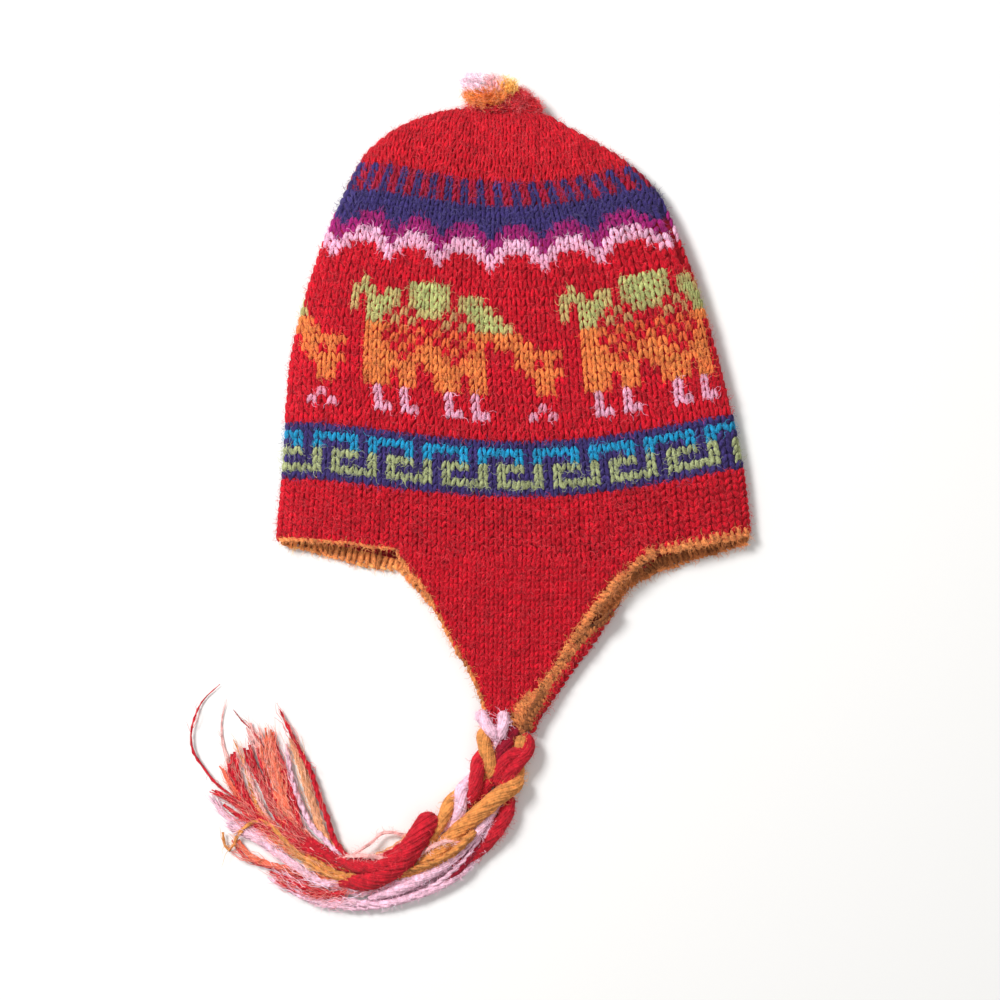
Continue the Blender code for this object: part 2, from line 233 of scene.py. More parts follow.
def feed(node: Node, inputs: dict, choices: dict | None = None) -> Node:
    """Set a node's choices, and set or link its inputs.

    Args:
        node: The node.
        inputs: A value, or the socket to link, for each input's name or number.
        choices: The node's own settings by name.

    Returns:
        The node.
    """
    for word, choice in (choices or {}).items():
        setattr(node, word, choice)
    for socket, value in inputs.items():
        if isinstance(value, NodeSocket):
            node.id_data.links.new(value, node.inputs[socket])
        else:
            node.inputs[socket].default_value = value
    return node


def copy_to(name: str, shape: Mesh, places: Sequence[Place], material: Material) -> Object:
    """Copy a small shape to many places and join the copies.

    Args:
        name: The new piece's name.
        shape: The small shape, round the origin.
        places: Where the copies go.
        material: The finish.

    Returns:
        One piece that holds all the copies.
    """
    points = bpy.data.meshes.new(name + "_points")
    points.from_pydata([place.point for place in places], [], [])
    turns = points.attributes.new("turn", "QUATERNION", "POINT")
    turns.data.foreach_set("value", [part for place in places for part in place.turn])
    sizes = points.attributes.new("size", "FLOAT_VECTOR", "POINT")
    sizes.data.foreach_set("vector", [part for place in places for part in place.size])
    colours = points.attributes.new(COLOUR, "FLOAT_COLOR", "POINT")
    parts = [part for place in places for part in (*place.colour, 1.0)]
    colours.data.foreach_set("color", parts)
    holder = link(bpy.data.objects.new(name + "_holder", points))
    pattern = link(bpy.data.objects.new(name + "_shape", shape))

    tree = bpy.data.node_groups.new(name + "_copies", "GeometryNodeTree")
    tree.interface.new_socket("Geometry", in_out="INPUT", socket_type="NodeSocketGeometry")
    tree.interface.new_socket("Geometry", in_out="OUTPUT", socket_type="NodeSocketGeometry")
    nodes = tree.nodes
    start = nodes.new("NodeGroupInput")
    source = feed(nodes.new("GeometryNodeObjectInfo"), {"Object": pattern})
    turn, size = (
        feed(nodes.new("GeometryNodeInputNamedAttribute"), {"Name": word}, {"data_type": kind})
        for word, kind in (("turn", "QUATERNION"), ("size", "FLOAT_VECTOR"))
    )
    spread = feed(nodes.new("GeometryNodeInstanceOnPoints"), {
        "Points": start.outputs[0],
        "Instance": source.outputs["Geometry"],
        "Rotation": turn.outputs["Attribute"],
        "Scale": size.outputs["Attribute"],
    })
    join = nodes.new("GeometryNodeRealizeInstances")
    feed(join, {"Geometry": spread.outputs["Instances"]})
    feed(nodes.new("NodeGroupOutput"), {0: join.outputs["Geometry"]})
    holder.modifiers.new("copies", "NODES").node_group = tree
    return settle(name, [holder, pattern], tree, material)


def settle(name: str, helpers: Sequence[Object], tree: NodeTree, material: Material) -> Object:
    """Keep what a helper's geometry nodes make, and remove the helpers.

    Args:
        name: The new piece's name.
        helpers: The object that has the nodes, then the others that go.
        tree: The node group.
        material: The finish.

    Returns:
        The finished piece.
    """
    bpy.context.view_layer.update()
    graph = bpy.context.evaluated_depsgraph_get()
    made = helpers[0].evaluated_get(graph)
    mesh = bpy.data.meshes.new_from_object(made, preserve_all_data_layers=True, depsgraph=graph)
    mesh.name = name
    for attribute in ("turn", "size"):
        mesh.attributes.remove(mesh.attributes[attribute])
    for helper in helpers:
        bpy.data.objects.remove(helper)
    bpy.data.node_groups.remove(tree)
    return piece_from(name, mesh, material)


class ShaderKit:
    """Shader node groups that several finishes share.

    DRIFT moves the fibres from place to place, FINE_SHARE weighs them against the broad clouds,
    and MEAN is the middle of their sum.
    """

    DRIFT = 170.0
    FINE_SHARE = 3.2
    MEAN = 2.1

    @staticmethod
    def wool() -> NodeTree:
        """The group that turns a yarn's dye into brushed wool.

        Returns:
            A group with the dye and a scale in, and colour, roughness and height out.
        """
        name = "brushed_wool"
        if name in bpy.data.node_groups:
            return bpy.data.node_groups[name]
        tree = bpy.data.node_groups.new(name, "ShaderNodeTree")
        for word, way, kind in (
            ("Dye", "INPUT", "NodeSocketColor"),
            ("Mottle", "INPUT", "NodeSocketFloat"),
            ("Color", "OUTPUT", "NodeSocketColor"),
            ("Roughness", "OUTPUT", "NodeSocketFloat"),
            ("Height", "OUTPUT", "NodeSocketFloat"),
        ):
            tree.interface.new_socket(word, in_out=way, socket_type=kind)
        nodes = tree.nodes
        start = nodes.new("NodeGroupInput")
        place = nodes.new("ShaderNodeTexCoord").outputs["Object"]
        fibre = feed(nodes.new("ShaderNodeAttribute"), {}, {"attribute_name": FIBRE})
        drift = feed(nodes.new("ShaderNodeVectorMath"), {
            0: place, 1: (ShaderKit.DRIFT,) * 3, 2: fibre.outputs["Vector"],
        }, {"operation": "MULTIPLY_ADD"})
        fine = feed(nodes.new("ShaderNodeTexNoise"), {
            "Vector": drift.outputs["Vector"], "Scale": 2.3, "Detail": 3.0, "Roughness": 0.65,
        }).outputs["Fac"]
        broad = feed(nodes.new("ShaderNodeTexNoise"), {
            "Vector": place, "Scale": 260.0, "Detail": 2.0,
        }).outputs["Fac"]

        def sum_up(operation: str, *values: object) -> NodeSocket:
            """Work out one step of the mottle."""
            step = nodes.new("ShaderNodeMath")
            return feed(step, dict(enumerate(values)), {"operation": operation}).outputs[0]

        both = sum_up("MULTIPLY_ADD", fine, ShaderKit.FINE_SHARE, broad)
        centred = sum_up("SUBTRACT", both, ShaderKit.MEAN)
        scaled = sum_up("MULTIPLY", centred, start.outputs["Mottle"])
        value = sum_up("ADD", scaled, 1.0)
        tint = feed(
            nodes.new("ShaderNodeHueSaturation"), {"Color": start.outputs["Dye"], "Value": value}
        )
        rough = feed(
            nodes.new("ShaderNodeMapRange"), {"Value": fine, "To Min": 0.78, "To Max": 1.0}
        )
        feed(nodes.new("NodeGroupOutput"), {
            "Color": tint.outputs["Color"], "Roughness": rough.outputs["Result"], "Height": fine,
        })
        return tree


@dataclass(frozen=True)
class WoolFinish:
    """A finish of dyed, brushed wool whose dye comes from the piece's own colour attribute."""

    name: str
    mottle: float
    sheen: float
    bump: float

    def material(self) -> Material:
        """The finish's material, made once.

        Returns:
            The material.
        """
        if self.name in bpy.data.materials:
            return bpy.data.materials[self.name]
        made = bpy.data.materials.new(self.name)
        made.use_nodes = True
        nodes = made.node_tree.nodes
        dye = feed(nodes.new("ShaderNodeAttribute"), {}, {"attribute_name": COLOUR})
        wool = feed(nodes.new("ShaderNodeGroup"), {}, {"node_tree": ShaderKit.wool()})
        feed(wool, {"Dye": dye.outputs["Color"], "Mottle": self.mottle})
        bump = feed(nodes.new("ShaderNodeBump"), {
            "Strength": self.bump, "Distance": 0.3 * MM, "Height": wool.outputs["Height"],
        })
        feed(nodes["Principled BSDF"], {
            "Base Color": wool.outputs["Color"],
            "Roughness": wool.outputs["Roughness"],
            "Normal": bump.outputs["Normal"],
            "Specular IOR Level": 0.15,
            "Sheen Weight": self.sheen,
            "Sheen Roughness": 0.55,
            "Sheen Tint": (1.0, 0.62, 0.58, 1.0),
        })
        return made


KNIT = WoolFinish("alpaca_knit", mottle=1.25, sheen=0.10, bump=0.9)
CLOTH = WoolFinish("knit_ground", mottle=0.7, sheen=0.05, bump=0.4)
TRIM = WoolFinish("crochet_trim", mottle=1.3, sheen=0.12, bump=1.0)
TIES = WoolFinish("tie_yarn", mottle=0.6, sheen=0.15, bump=0.6)
HALO = WoolFinish("alpaca_hairs", mottle=0.3, sheen=0.10, bump=0.0)


@dataclass
class Studio:
    """The pale floor, the soft light and the camera straight above."""

    view_width: float = 540.0 * MM
    middle: tuple[float, float] = (-7.0 * MM, -51.6 * MM)
    camera_height: float = 1.9
    focus_height: float = 8.0 * MM
    sensor: float = 36.0
    floor_size: float = 3.0

    def build(self) -> None:
        """Make the camera, the lights, the world and the floor."""
        self._camera()
        self._lights()
        self._world()
        self._floor()

    def _camera(self) -> None:
        """A long lens that looks straight down, with the crown at the top of the picture."""
        lens = bpy.data.cameras.new("overhead_camera")
        lens.sensor_width = self.sensor
        distance = self.camera_height - self.focus_height
        lens.lens = self.sensor * distance / self.view_width
        camera = link(bpy.data.objects.new("overhead_camera", lens))
        camera.location = (*self.middle, self.camera_height)
        bpy.context.scene.camera = camera

    def _lights(self) -> None:
        """A broad soft light from the upper left, and a weak fill."""
        self._area("window_light", (-1.1, 0.8, 1.6), 0.6, 46.0)
        self._area("ceiling_light", (0.2, -0.2, 2.4), 2.2, 11.5)

    def _area(self, name: str, place: tuple, size: float, power: float) -> None:
        """A square light that faces the hat.

        Args:
            name: Its name.
            place: Where it hangs.
            size: How long its side is.
            power: Its power (W).
        """
        data = bpy.data.lights.new(name, "AREA")
        data.size = size
        data.energy = power
        light = link(bpy.data.objects.new(name, data))
        light.location = place
        aim = Vector((*self.middle, 0.0)) - Vector(place)
        light.rotation_mode = "QUATERNION"
        light.rotation_quaternion = aim.to_track_quat("-Z", "Y")

    def _world(self) -> None:
        """An even pale surround."""
        world = bpy.data.worlds.new("pale_room")
        world.use_nodes = True
        feed(world.node_tree.nodes["Background"], {
            "Color": (1.0, 0.985, 0.97, 1.0), "Strength": 0.36,
        })
        bpy.context.scene.world = world
        bpy.context.scene.view_settings.view_transform = "Standard"

    def _floor(self) -> None:
        """The plain pale floor."""
        sheet = bmesh.new()
        bmesh.ops.create_grid(sheet, x_segments=1, y_segments=1, size=self.floor_size)
        mesh = mesh_of("pale_floor", sheet)
        floor = link(bpy.data.objects.new("pale_floor", mesh))
        paper = bpy.data.materials.new("pale_paper")
        paper.use_nodes = True
        feed(paper.node_tree.nodes["Principled BSDF"], {
            "Base Color": (0.87, 0.865, 0.852, 1.0), "Roughness": 0.9,
        })
        mesh.materials.append(paper)


@dataclass
class CapForm:
    """The flattened cap's outer surface.

    A course is one round of knitting. It runs over the upper layer from the left fold to the
    right one, and back under. A row gives how much knitting lies between the course and the rim,
    where both folds lie, how low the middles of the two layers hang, how much lower the course
    hangs on its right half than on its left, and how thick the two layers are (mm).
    """

    columns: tuple = (
        "knitted", "left_x", "left_y", "right_x", "right_y", "upper_y", "lower_y", "lean", "loft"
    )
    courses: tuple = (
        (0, -128, -73, 128, -69, -84, -93, 6.5, 14.5),
        (16, -126.8, -57.5, 126.3, -52.5, -67.5, -72.5, 5, 15.5),
        (32.5, -125.2, -41, 124, -35, -50.5, -52.5, 4.5, 16.5),
        (63, -123, -10, 118.2, -5.5, -20, -20, 4.5, 18),
        (97, -120.6, 23, 110.7, 26, 13.5, 13.5, 4.5, 19),
        (129, -113.2, 55, 100.8, 60, 45.5, 45.5, 4.5, 20),
        (163, -102.6, 88, 88.6, 93, 79.5, 79.5, 4.5, 20.5),
        (184, -94, 108, 79.8, 111.5, 99.5, 99.5, 4, 20),
        (200, -86.5, 124.5, 69.5, 124, 114, 114, 4.5, 19.5),
        (213, -78.5, 136.5, 57.5, 133.8, 125.5, 125.5, 4.5, 19),
        (225, -67, 146.5, 45, 141.5, 135.5, 135.5, 4, 18),
        (237, -53.5, 153.5, 32, 148.8, 144.5, 144.5, 3, 16.5),
        (249, -38, 158.4, 19, 156.2, 152, 152, 1.5, 14),
        (261, -20.5, 160.6, 5.5, 160, 157.5, 157.5, 0, 10),
    )
    pole: Vector = field(default_factory=lambda: Vector((-7.5, 161.0, 5.0)) * MM)
    fold_height_share: float = 0.42
    upper_flatness: float = 5.0
    lower_flatness: float = 12.0
    arc_sharpness: float = 1.6
    wall: float = 3.0 * MM
    _kept: dict = field(default_factory=dict)

    def course(self, knitted: float) -> dict[str, float]:
        """The sizes of one course, in metres, kept for later calls.

        Args:
            knitted: How much knitting lies between it and the rim.

        Returns:
            The sizes by column name.
        """
        key = round(knitted * 1e7)
        if key not in self._kept:
            columns = list(zip(*self.courses))
            sizes = [smooth_value(column, knitted / MM, columns[0]) * MM for column in columns]
            self._kept[key] = dict(zip(self.columns, sizes))
        return self._kept[key]

    def point(self, knitted: float, turn: float, depth: float = 0.0) -> Vector:
        """A point of the cap.

        Args:
            knitted: How much knitting lies between it and the rim.
            turn: How far round it is: 0 at the left fold, pi at the right one, then under.
            depth: How far inside the outer surface it lies.

        Returns:
            The point.
        """
        course = self.course(knitted)
        side = -math.cos(turn)
        upper = math.sin(turn) >= 0.0
        middle_x = (course["left_x"] + course["right_x"]) / 2
        half_width = (course["right_x"] - course["left_x"]) / 2 - depth
        share = (1.0 + side) / 2
        straight_y = course["left_y"] + (course["right_y"] - course["left_y"]) * share
        middle_y = (course["left_y"] + course["right_y"]) / 2
        hang = (course["upper_y"] if upper else course["lower_y"]) - middle_y
        arc = 4 * share * (1 - share)
        y = straight_y + hang * arc**self.arc_sharpness - course["lean"] * arc * side
        fold = course["loft"] * self.fold_height_share
        flatness = self.upper_flatness if upper else self.lower_flatness
        swell = math.sqrt(max(0.0, 1.0 - abs(side) ** flatness))
        if upper:
            z = fold + (course["loft"] - fold - depth) * swell
        else:
            z = max(depth, fold - (fold - depth) * swell)
        return Vector((middle_x + half_width * side, y, z))

    def turns_by_length(self, knitted: float, samples: int = 240) -> tuple[list, list]:
        """Measure once round a course.

        Args:
            knitted: Which course.
            samples: How many steps to take.

        Returns:
            The turns, and the length of the course up to each.
        """
        turns = [2 * math.pi * index / samples for index in range(samples + 1)]
        return turns, lengths_along([self.point(knitted, turn) for turn in turns])

    def frame(self, knitted: float, turn: float) -> tuple[Vector, Vector, Vector]:
        """The outer point with the directions along the course and out of the cloth.

        Args:
            knitted: How much knitting lies between the point and the rim.
            turn: How far round it is.

        Returns:
            The point, the direction along the course and the outward normal.
        """
        lift = 1.0 * MM
        here = self.point(knitted, turn)
        along = self.point(knitted, turn + NUDGE) - self.point(knitted, turn - NUDGE)
        up = self.point(knitted + lift, turn) - self.point(knitted - lift, turn)
        normal = along.cross(up).normalized()
        return here, along.normalized(), normal


class Charts:
    """The colour-work, one letter for each stitch, top row first. A dot is the ground."""

    TEETH = ("ir",) * 3
    ZIGZAG = (
        "mmmiii",
        "mmmmim",
        "pppmmm",
        "ppppmp",
        "...ppp",
        "....p.",
    )
    ANIMALS = (
        ".G.....GGGGG............",
        "GGG.GG.GGGGG.GGG........",
        "G.GGGG.GGGGG.GGGG.......",
        "G.GGG.G.GGG.G.GGGG......",
        "..GG.G.G...G.G.GGGG.....",
        "..OOO.O.O.O.O.OOOOOO....",
        "..OO.O.O.O.O.O.O.OOOO...",
        "..OOO.O.OOO.O.OO...OOOOO",
        "..OOOO.OOOOO.OOO...OO.O.",
        "..OOOOOO.OOOOOOO....OOOO",
        "..OOO.OO..OOO.OO.....OO.",
        "..OOO.OO..OOO.OO.....OO.",
        "...P..P....P..P.........",
        "...P..P....P..P......P..",
        "...PP.PP...PP.PP....P.P.",
    )
    KEY = (
        "iiiiii",
        "CCCCCi",
        "CiiiCi",
        "gigggi",
        "gigiii",
        "gigggg",
        "iiiiii",
    )
    LETTERS = {
        ".": Yarn.RED,
        "r": Yarn.SHADED_RED,
        "i": Yarn.INDIGO,
        "m": Yarn.MAGENTA,
        "p": Yarn.PINK,
        "P": Yarn.PINK,
        "G": Yarn.LEAF,
        "g": Yarn.SAGE,
        "O": Yarn.ORANGE,
        "C": Yarn.CYAN,
    }


@dataclass(frozen=True)
class Band:
    """A stretch of rounds with the same number of stitches.

    anchors pair a stitch's number with how far across the face it stands, 0 at the left fold and
    1 at the right one. Half of the round's stitches lie between the folds. Behind the dark_rows
    at the top the ground is indigo, and behind the others it is red.
    """

    name: str
    low: float
    high: float
    rows: tuple
    stitches: int
    anchors: tuple
    low_anchors: tuple = ()
    dark_rows: int = 0
    reddening: float = 0.11

    def yarn(self, row: int, stitch: int) -> Yarn:
        """The yarn of a stitch, row 0 at the top."""
        letters = self.rows[row]
        return Charts.LETTERS[letters[stitch % len(letters)]]

    def dye(self, row: int, stitch: int) -> tuple[float, float, float]:
        """A stitch's colour, reddened where fuzzy ground stitches stand beside it.

        Args:
            row: Its row, 0 at the top.
            stitch: Its number.

        Returns:
            The colour.
        """
        own = self.yarn(row, stitch)
        if not any("." in letters for letters in self.rows):
            return own.value
        beside = [self.yarn(row, stitch - 1), self.yarn(row, stitch + 1)]
        rows = range(len(self.rows))
        beside += [self.yarn(near, stitch) for near in (row - 1, row + 1) if near in rows]
        share = self.reddening * sum(yarn is Yarn.RED for yarn in beside)
        return tuple(part + (red - part) * share for part, red in zip(own.value, Yarn.RED.value))

    def anchors_at(self, row: int) -> tuple[list, list]:
        """The numbers and the shares of a row's anchors, between the top row's and the last's.

        Args:
            row: The row, 0 at the top.

        Returns:
            The numbers and the shares.
        """
        numbers = [float(number) for number, _ in self.anchors]
        shares = [share for _, share in self.anchors]
        if self.low_anchors:
            low_numbers, low_shares = zip(*self.low_anchors)
            part = row / (len(self.rows) - 1)
            lows = [float(np.interp(number, low_numbers, low_shares)) for number in numbers]
            shares = [high + (low - high) * part for high, low in zip(shares, lows)]
            shares[0] = 0.0
            shares[-1] = 1.0
        return numbers, shares


WIDE = (
    (-7, 0), (0, 0.126), (15, 0.442), (24, 0.6615), (31, 0.818), (36, 0.947), (41, 1),
)
WIDE_LOW = (
    (-7.2, 0), (-3, 0.088), (3, 0.214), (6, 0.274), (11, 0.376), (14, 0.432), (21, 0.582),
    (27, 0.713), (30, 0.772), (35, 0.894), (38, 0.952), (40.8, 1),
)
KEYED = (
    (-3.8, 0), (0, 0.077), (12, 0.319), (24, 0.561), (36, 0.807), (42, 0.944), (44.2, 1),
)
NARROW = (
    (-4, 0), (0, 0.098), (6, 0.238), (12, 0.372), (18, 0.522), (24, 0.672), (30, 0.828),
    (34, 0.954), (35, 1),
)
TOOTHED = (
    (-0.6, 0), (0, 0.02), (8, 0.228), (16, 0.442), (24, 0.686), (32, 0.902), (35.4, 1),
)
BANDS = (
    Band("rim", 0.0, 33.0, (".",) * 9, 96, KEYED),
    Band("key", 33.0, 63.0, Charts.KEY, 96, KEYED, dark_rows=7),
    Band("low_red", 63.0, 73.6, (".",) * 2, 96, WIDE_LOW),
    Band("animals", 73.6, 145.0, Charts.ANIMALS, 96, WIDE, WIDE_LOW),
    Band("mid_red", 145.0, 154.6, (".",) * 2, 78, NARROW),
    Band("zigzag", 154.6, 180.0, Charts.ZIGZAG, 78, NARROW, dark_rows=2),
    Band("indigo", 180.0, 191.4, ("i",) * 3, 72, TOOTHED, dark_rows=3),
    Band("teeth", 191.4, 205.6, Charts.TEETH, 72, TOOTHED),
)


def fibre_place(x: float, y: float, twist: float, scale: float, along: float) -> Vector:
    """Where a yarn's texture is read, wound round the yarn's middle line.

    Args:
        x: Across the yarn.
        y: Across the yarn the other way.
        twist: How far the yarn has turned there (radians).
        scale: How fine its fibres are.
        along: How far along the yarn it is.

    Returns:
        The place.
    """
    return Vector((
        (x * math.cos(twist) - y * math.sin(twist)) * scale,
        (x * math.sin(twist) + y * math.cos(twist)) * scale,
        along,
    ))


@dataclass(frozen=True)
class StitchForm:
    """One knitted stitch, two plump legs that meet at a peak, one unit wide and high.

    A leg's middle line starts at the foot and goes on by the rise, with a bow to the side and a
    dip at the peak. The leg is thinner at its ends.
    """

    sides: int
    rings: int
    foot: tuple = (0.385, -0.74, -0.26)
    rise: tuple = (-0.245, 1.36, 0.42)
    side_bow: float = 0.02
    dip: float = 0.08
    half_width: float = 0.255
    half_depth: float = 0.25
    thinning: float = 0.22
    twist: float = 1.3
    grain: float = 2.2
    leg_drift: float = 5.0

    def mesh(self, name: str) -> Mesh:
        """The stitch's mesh, with its peak towards +Y and its face towards +Z.

        Args:
            name: The mesh's name.

        Returns:
            The mesh.
        """
        stitch = bmesh.new()
        fibre = stitch.verts.layers.float_vector.new(FIBRE)
        for side in (-1.0, 1.0):
            made = bmesh.ops.create_uvsphere(
                stitch, u_segments=self.sides, v_segments=self.rings, radius=1.0
            )
            for corner in made["verts"]:
                across, deep, along = corner.co
                travelled = along * 0.5 + side * self.leg_drift
                corner[fibre] = fibre_place(
                    across, deep, self.twist * along, self.grain, travelled
                )
                fullness = 1.0 - self.thinning * along * along
                peak = (along + 1.0) / 2
                x, y, z = (low + rise * peak for low, rise in zip(self.foot, self.rise))
                x += self.side_bow * math.sin(math.pi * peak)
                z -= self.dip * peak * peak
                corner.co = Vector((
                    side * (x + across * self.half_width * fullness),
                    y,
                    z + deep * self.half_depth * fullness,
                ))
        bmesh.ops.recalc_face_normals(stitch, faces=stitch.faces)
        return mesh_of(name, stitch)


FACE_STITCH = StitchForm(sides=6, rings=5)
UNDER_STITCH = StitchForm(sides=4, rings=4)


def knit_wall(
    name: str, steps: tuple[int, int], place: Callable[[float, float], tuple[Vector, Sequence]],
    thickness: float, offset: float,
) -> Object:
    """Make a wall of knitted cloth.

    Args:
        name: The piece's name.
        steps: How many steps it has across and along.
        place: Gives the point and the painted-shade dye for how far across and along it lies, 0 to
            1.
        thickness: The wall's thickness.
        offset: Which side of the points the wall lies on, 0 for both.

    Returns:
        The piece.
    """
    sheet = bmesh.new()
    bmesh.ops.create_grid(sheet, x_segments=steps[0], y_segments=steps[1], size=0.5)
    layer = sheet.verts.layers.float_color.new(COLOUR)
    for corner in sheet.verts:
        corner.co, dye = place(corner.co.x + 0.5, corner.co.y + 0.5)
        corner[layer] = (*dye, 1.0)
    bmesh.ops.remove_doubles(sheet, verts=sheet.verts, dist=WELD)
    bmesh.ops.dissolve_degenerate(sheet, edges=sheet.edges, dist=WELD)
    bmesh.ops.recalc_face_normals(sheet, faces=sheet.faces)
    cloth = piece_from(name, mesh_of(name, sheet), CLOTH.material())
    wall = cloth.modifiers.new("wall", "SOLIDIFY")
    wall.thickness = thickness
    wall.offset = offset
    return cloth


@dataclass
class KnitCap:
    """The knitted cap: its cloth and its stitches.

    The ground is the cloth between the stitches, painted dark by ground_painted_shade as the shade
    between them. It lies ground_depth inside the outer surface, and as much as ground_sag deeper on
    the layer underneath.
    """

    form: CapForm
    crown_low: float = 205.6
    crown_rows: int = 10
    crown_top: float = 259.0
    crown_pitch: float = 3.95
    upper_sink: float = 0.35 * MM
    lower_sink: float = 1.25 * MM
    fold_height: float = 4.5 * MM
    stitch_tilt: float = 0.10
    unevenness: float = 0.08
    ground_steps: tuple[int, int] = (84, 66)
    ground_top: float = 261.0 * MM
    ground_depth: float = 1.1 * MM
    ground_sag: float = 0.8 * MM
    # How dark the ground is painted, as the shade between the stitches.
    ground_painted_shade: float = 0.45
    places: dict = field(default_factory=dict)

    def build(self) -> list[Object]:
        """Make the cloth and all the stitches.

        Returns:
            The pieces.
        """
        dice = random.Random(SEED)
        for band in BANDS:
            self.places[band.name] = self._band_places(band, dice)
        self.places["crown"] = self._crown_places(dice)
        groups = {
            "rim_stitches": ("rim", "key", "low_red"),
            "animal_stitches": ("animals",),
            "top_stitches": ("mid_red", "zigzag", "indigo", "teeth", "crown"),
        }
        pieces = []
        for name, members in groups.items():
            places = [place for member in members for place in self.places[member]]
            upper = [place for place in places if place.point.z > self.fold_height]
            lower = [place for place in places if place.point.z <= self.fold_height]
            shape = FACE_STITCH.mesh(name + "_one")
            pieces.append(copy_to(name, shape, upper, KNIT.material()))
            name = "under_" + name
            shape = UNDER_STITCH.mesh(name + "_one")
            pieces.append(copy_to(name, shape, lower, KNIT.material()))
        cloth = self._cloth()
        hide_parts("knit_body")
        return [cloth] + pieces

    def _turn_finder(self, knitted: float, band: Band, row: int) -> Callable[[float], float]:
        """How a stitch number becomes a turn on one course.

        Args:
            knitted: Which course.
            band: The band whose anchors count.
            row: The band's row, 0 at the top.

        Returns:
            A function from the stitch's number to its turn.
        """
        turns, lengths = self.form.turns_by_length(knitted)
        numbers, shares = band.anchors_at(row)
        face = []
        for share in shares:
            turn = math.acos(max(-1.0, min(1.0, 1.0 - 2.0 * share)))
            face.append(float(np.interp(turn, turns, lengths)))
        numbers.append(numbers[0] + band.stitches)
        face.append(lengths[-1])

        def turn_of(number: float) -> float:
            """The turn of a stitch.

            Args:
                number: Its number.

            Returns:
                Its turn.
            """
            rounds = math.floor((number - numbers[0]) / band.stitches)
            number -= rounds * band.stitches
            length = float(np.interp(number, numbers, face))
            return float(np.interp(length, lengths, turns))

        return turn_of

    def _stitch(
        self, knitted: float, turn: float, width: float, height: float, dye: tuple,
        dice: random.Random,
    ) -> Place:
        """Seat one stitch on the cap.

        Args:
            knitted: How much knitting lies between its middle and the rim.
            turn: How far round it is.
            width: Its width.
            height: The height of its row.
            dye: Its colour.
            dice: The source of small differences.

        Returns:
            Its place.
        """
        point, along, normal = self.form.frame(knitted, turn)
        facing = (normal.z + 1.0) / 2
        sink = self.lower_sink + (self.upper_sink - self.lower_sink) * facing
        tilt = Quaternion(UP, dice.gauss(0.0, self.stitch_tilt))
        colour = lit(dye, 1.0 + dice.gauss(0.0, self.unevenness))
        size = Vector((
            width * dice.uniform(0.94, 1.06),
            height * dice.uniform(0.94, 1.06),
            STITCH_DEPTH * dice.uniform(0.9, 1.08),
        ))
        return Place(point - normal * sink, axes_turn(along, normal) @ tilt, size, colour)

    def _band_places(self, band: Band, dice: random.Random) -> list[Place]:
        """Seat the stitches of one band.

        Args:
            band: The band.
            dice: The source of small differences.

        Returns:
            The stitches' places.
        """
        places = []
        pitch = (band.high - band.low) / len(band.rows)
        for row in range(len(band.rows)):
            knitted = (band.high - (row + 0.5) * pitch) * MM
            turn_of = self._turn_finder(knitted, band, row)
            for stitch in range(band.stitches):
                turn = turn_of(stitch)
                ahead = self.form.point(knitted, turn_of(stitch + 0.5))
                behind = self.form.point(knitted, turn_of(stitch - 0.5))
                width = (ahead - behind).length
                dye = band.dye(row, stitch)
                places.append(self._stitch(knitted, turn, width, pitch * MM, dye, dice))
        return places

    def _crown_places(self, dice: random.Random) -> list[Place]:
        """Seat the stitches of the crown, fewer in each round.

        Args:
            dice: The source of small differences.

        Returns:
            The stitches' places.
        """
        places = []
        pitch = (self.crown_top - self.crown_low) / self.crown_rows
        for row in range(self.crown_rows):
            knitted = (self.crown_low + (row + 0.5) * pitch) * MM
            turns, lengths = self.form.turns_by_length(knitted)
            count = max(8, round(lengths[-1] / (self.crown_pitch * MM)))
            for stitch in range(count):
                length = lengths[-1] * (stitch + 0.5 * (row % 2)) / count
                turn = float(np.interp(length, lengths, turns))
                width = lengths[-1] / count
                places.append(
                    self._stitch(knitted, turn, width, pitch * MM, Yarn.CROWN_RED.value, dice)
                )
        return places

    def _cloth(self) -> Object:
        """The cloth that the stitches stand out of, a wall with its inside."""
        thickness = self.form.wall - self.ground_depth
        return knit_wall("cap_cloth", self.ground_steps, self._ground, thickness, -1.0)

    def _ground(self, round_share: float, height_share: float) -> tuple[Vector, Sequence]:
        """A point of the ground and its dye, with its painted shade.

        Args:
            round_share: How far round the cap it lies.
            height_share: How far up from the rim it lies. The last step closes the crown.

        Returns:
            The point and the dye.
        """
        turn = 2 * math.pi * round_share
        step = 1.0 / self.ground_steps[1]
        share = height_share / (1.0 - step)
        knitted = min(share, 1.0) * self.ground_top
        dye = self._shaded_ground_dye(knitted)
        if share > 1.0 + step / 2:
            return self.form.pole, dye
        sag = self.ground_sag * max(0.0, -math.sin(turn)) ** 0.5
        return self.form.point(knitted, turn, self.ground_depth + sag), dye

    def _shaded_ground_dye(self, knitted: float) -> tuple[float, ...]:
        """The colour between the stitches at a height: its yarn's colour painted darker as shade.

        Args:
            knitted: How much knitting is below it.

        Returns:
            The colour.
        """
        yarn = Yarn.CROWN_RED
        for band in BANDS:
            if band.low * MM <= knitted < band.high * MM:
                pitch = (band.high - band.low) / len(band.rows)
                row = int((band.high - knitted / MM) / pitch)
                yarn = Yarn.INDIGO if row < band.dark_rows else Yarn.RED
        # Painted shade: the yarn's colour darkened for the shade between the stitches.
        return lit(yarn.value, self.ground_painted_shade)


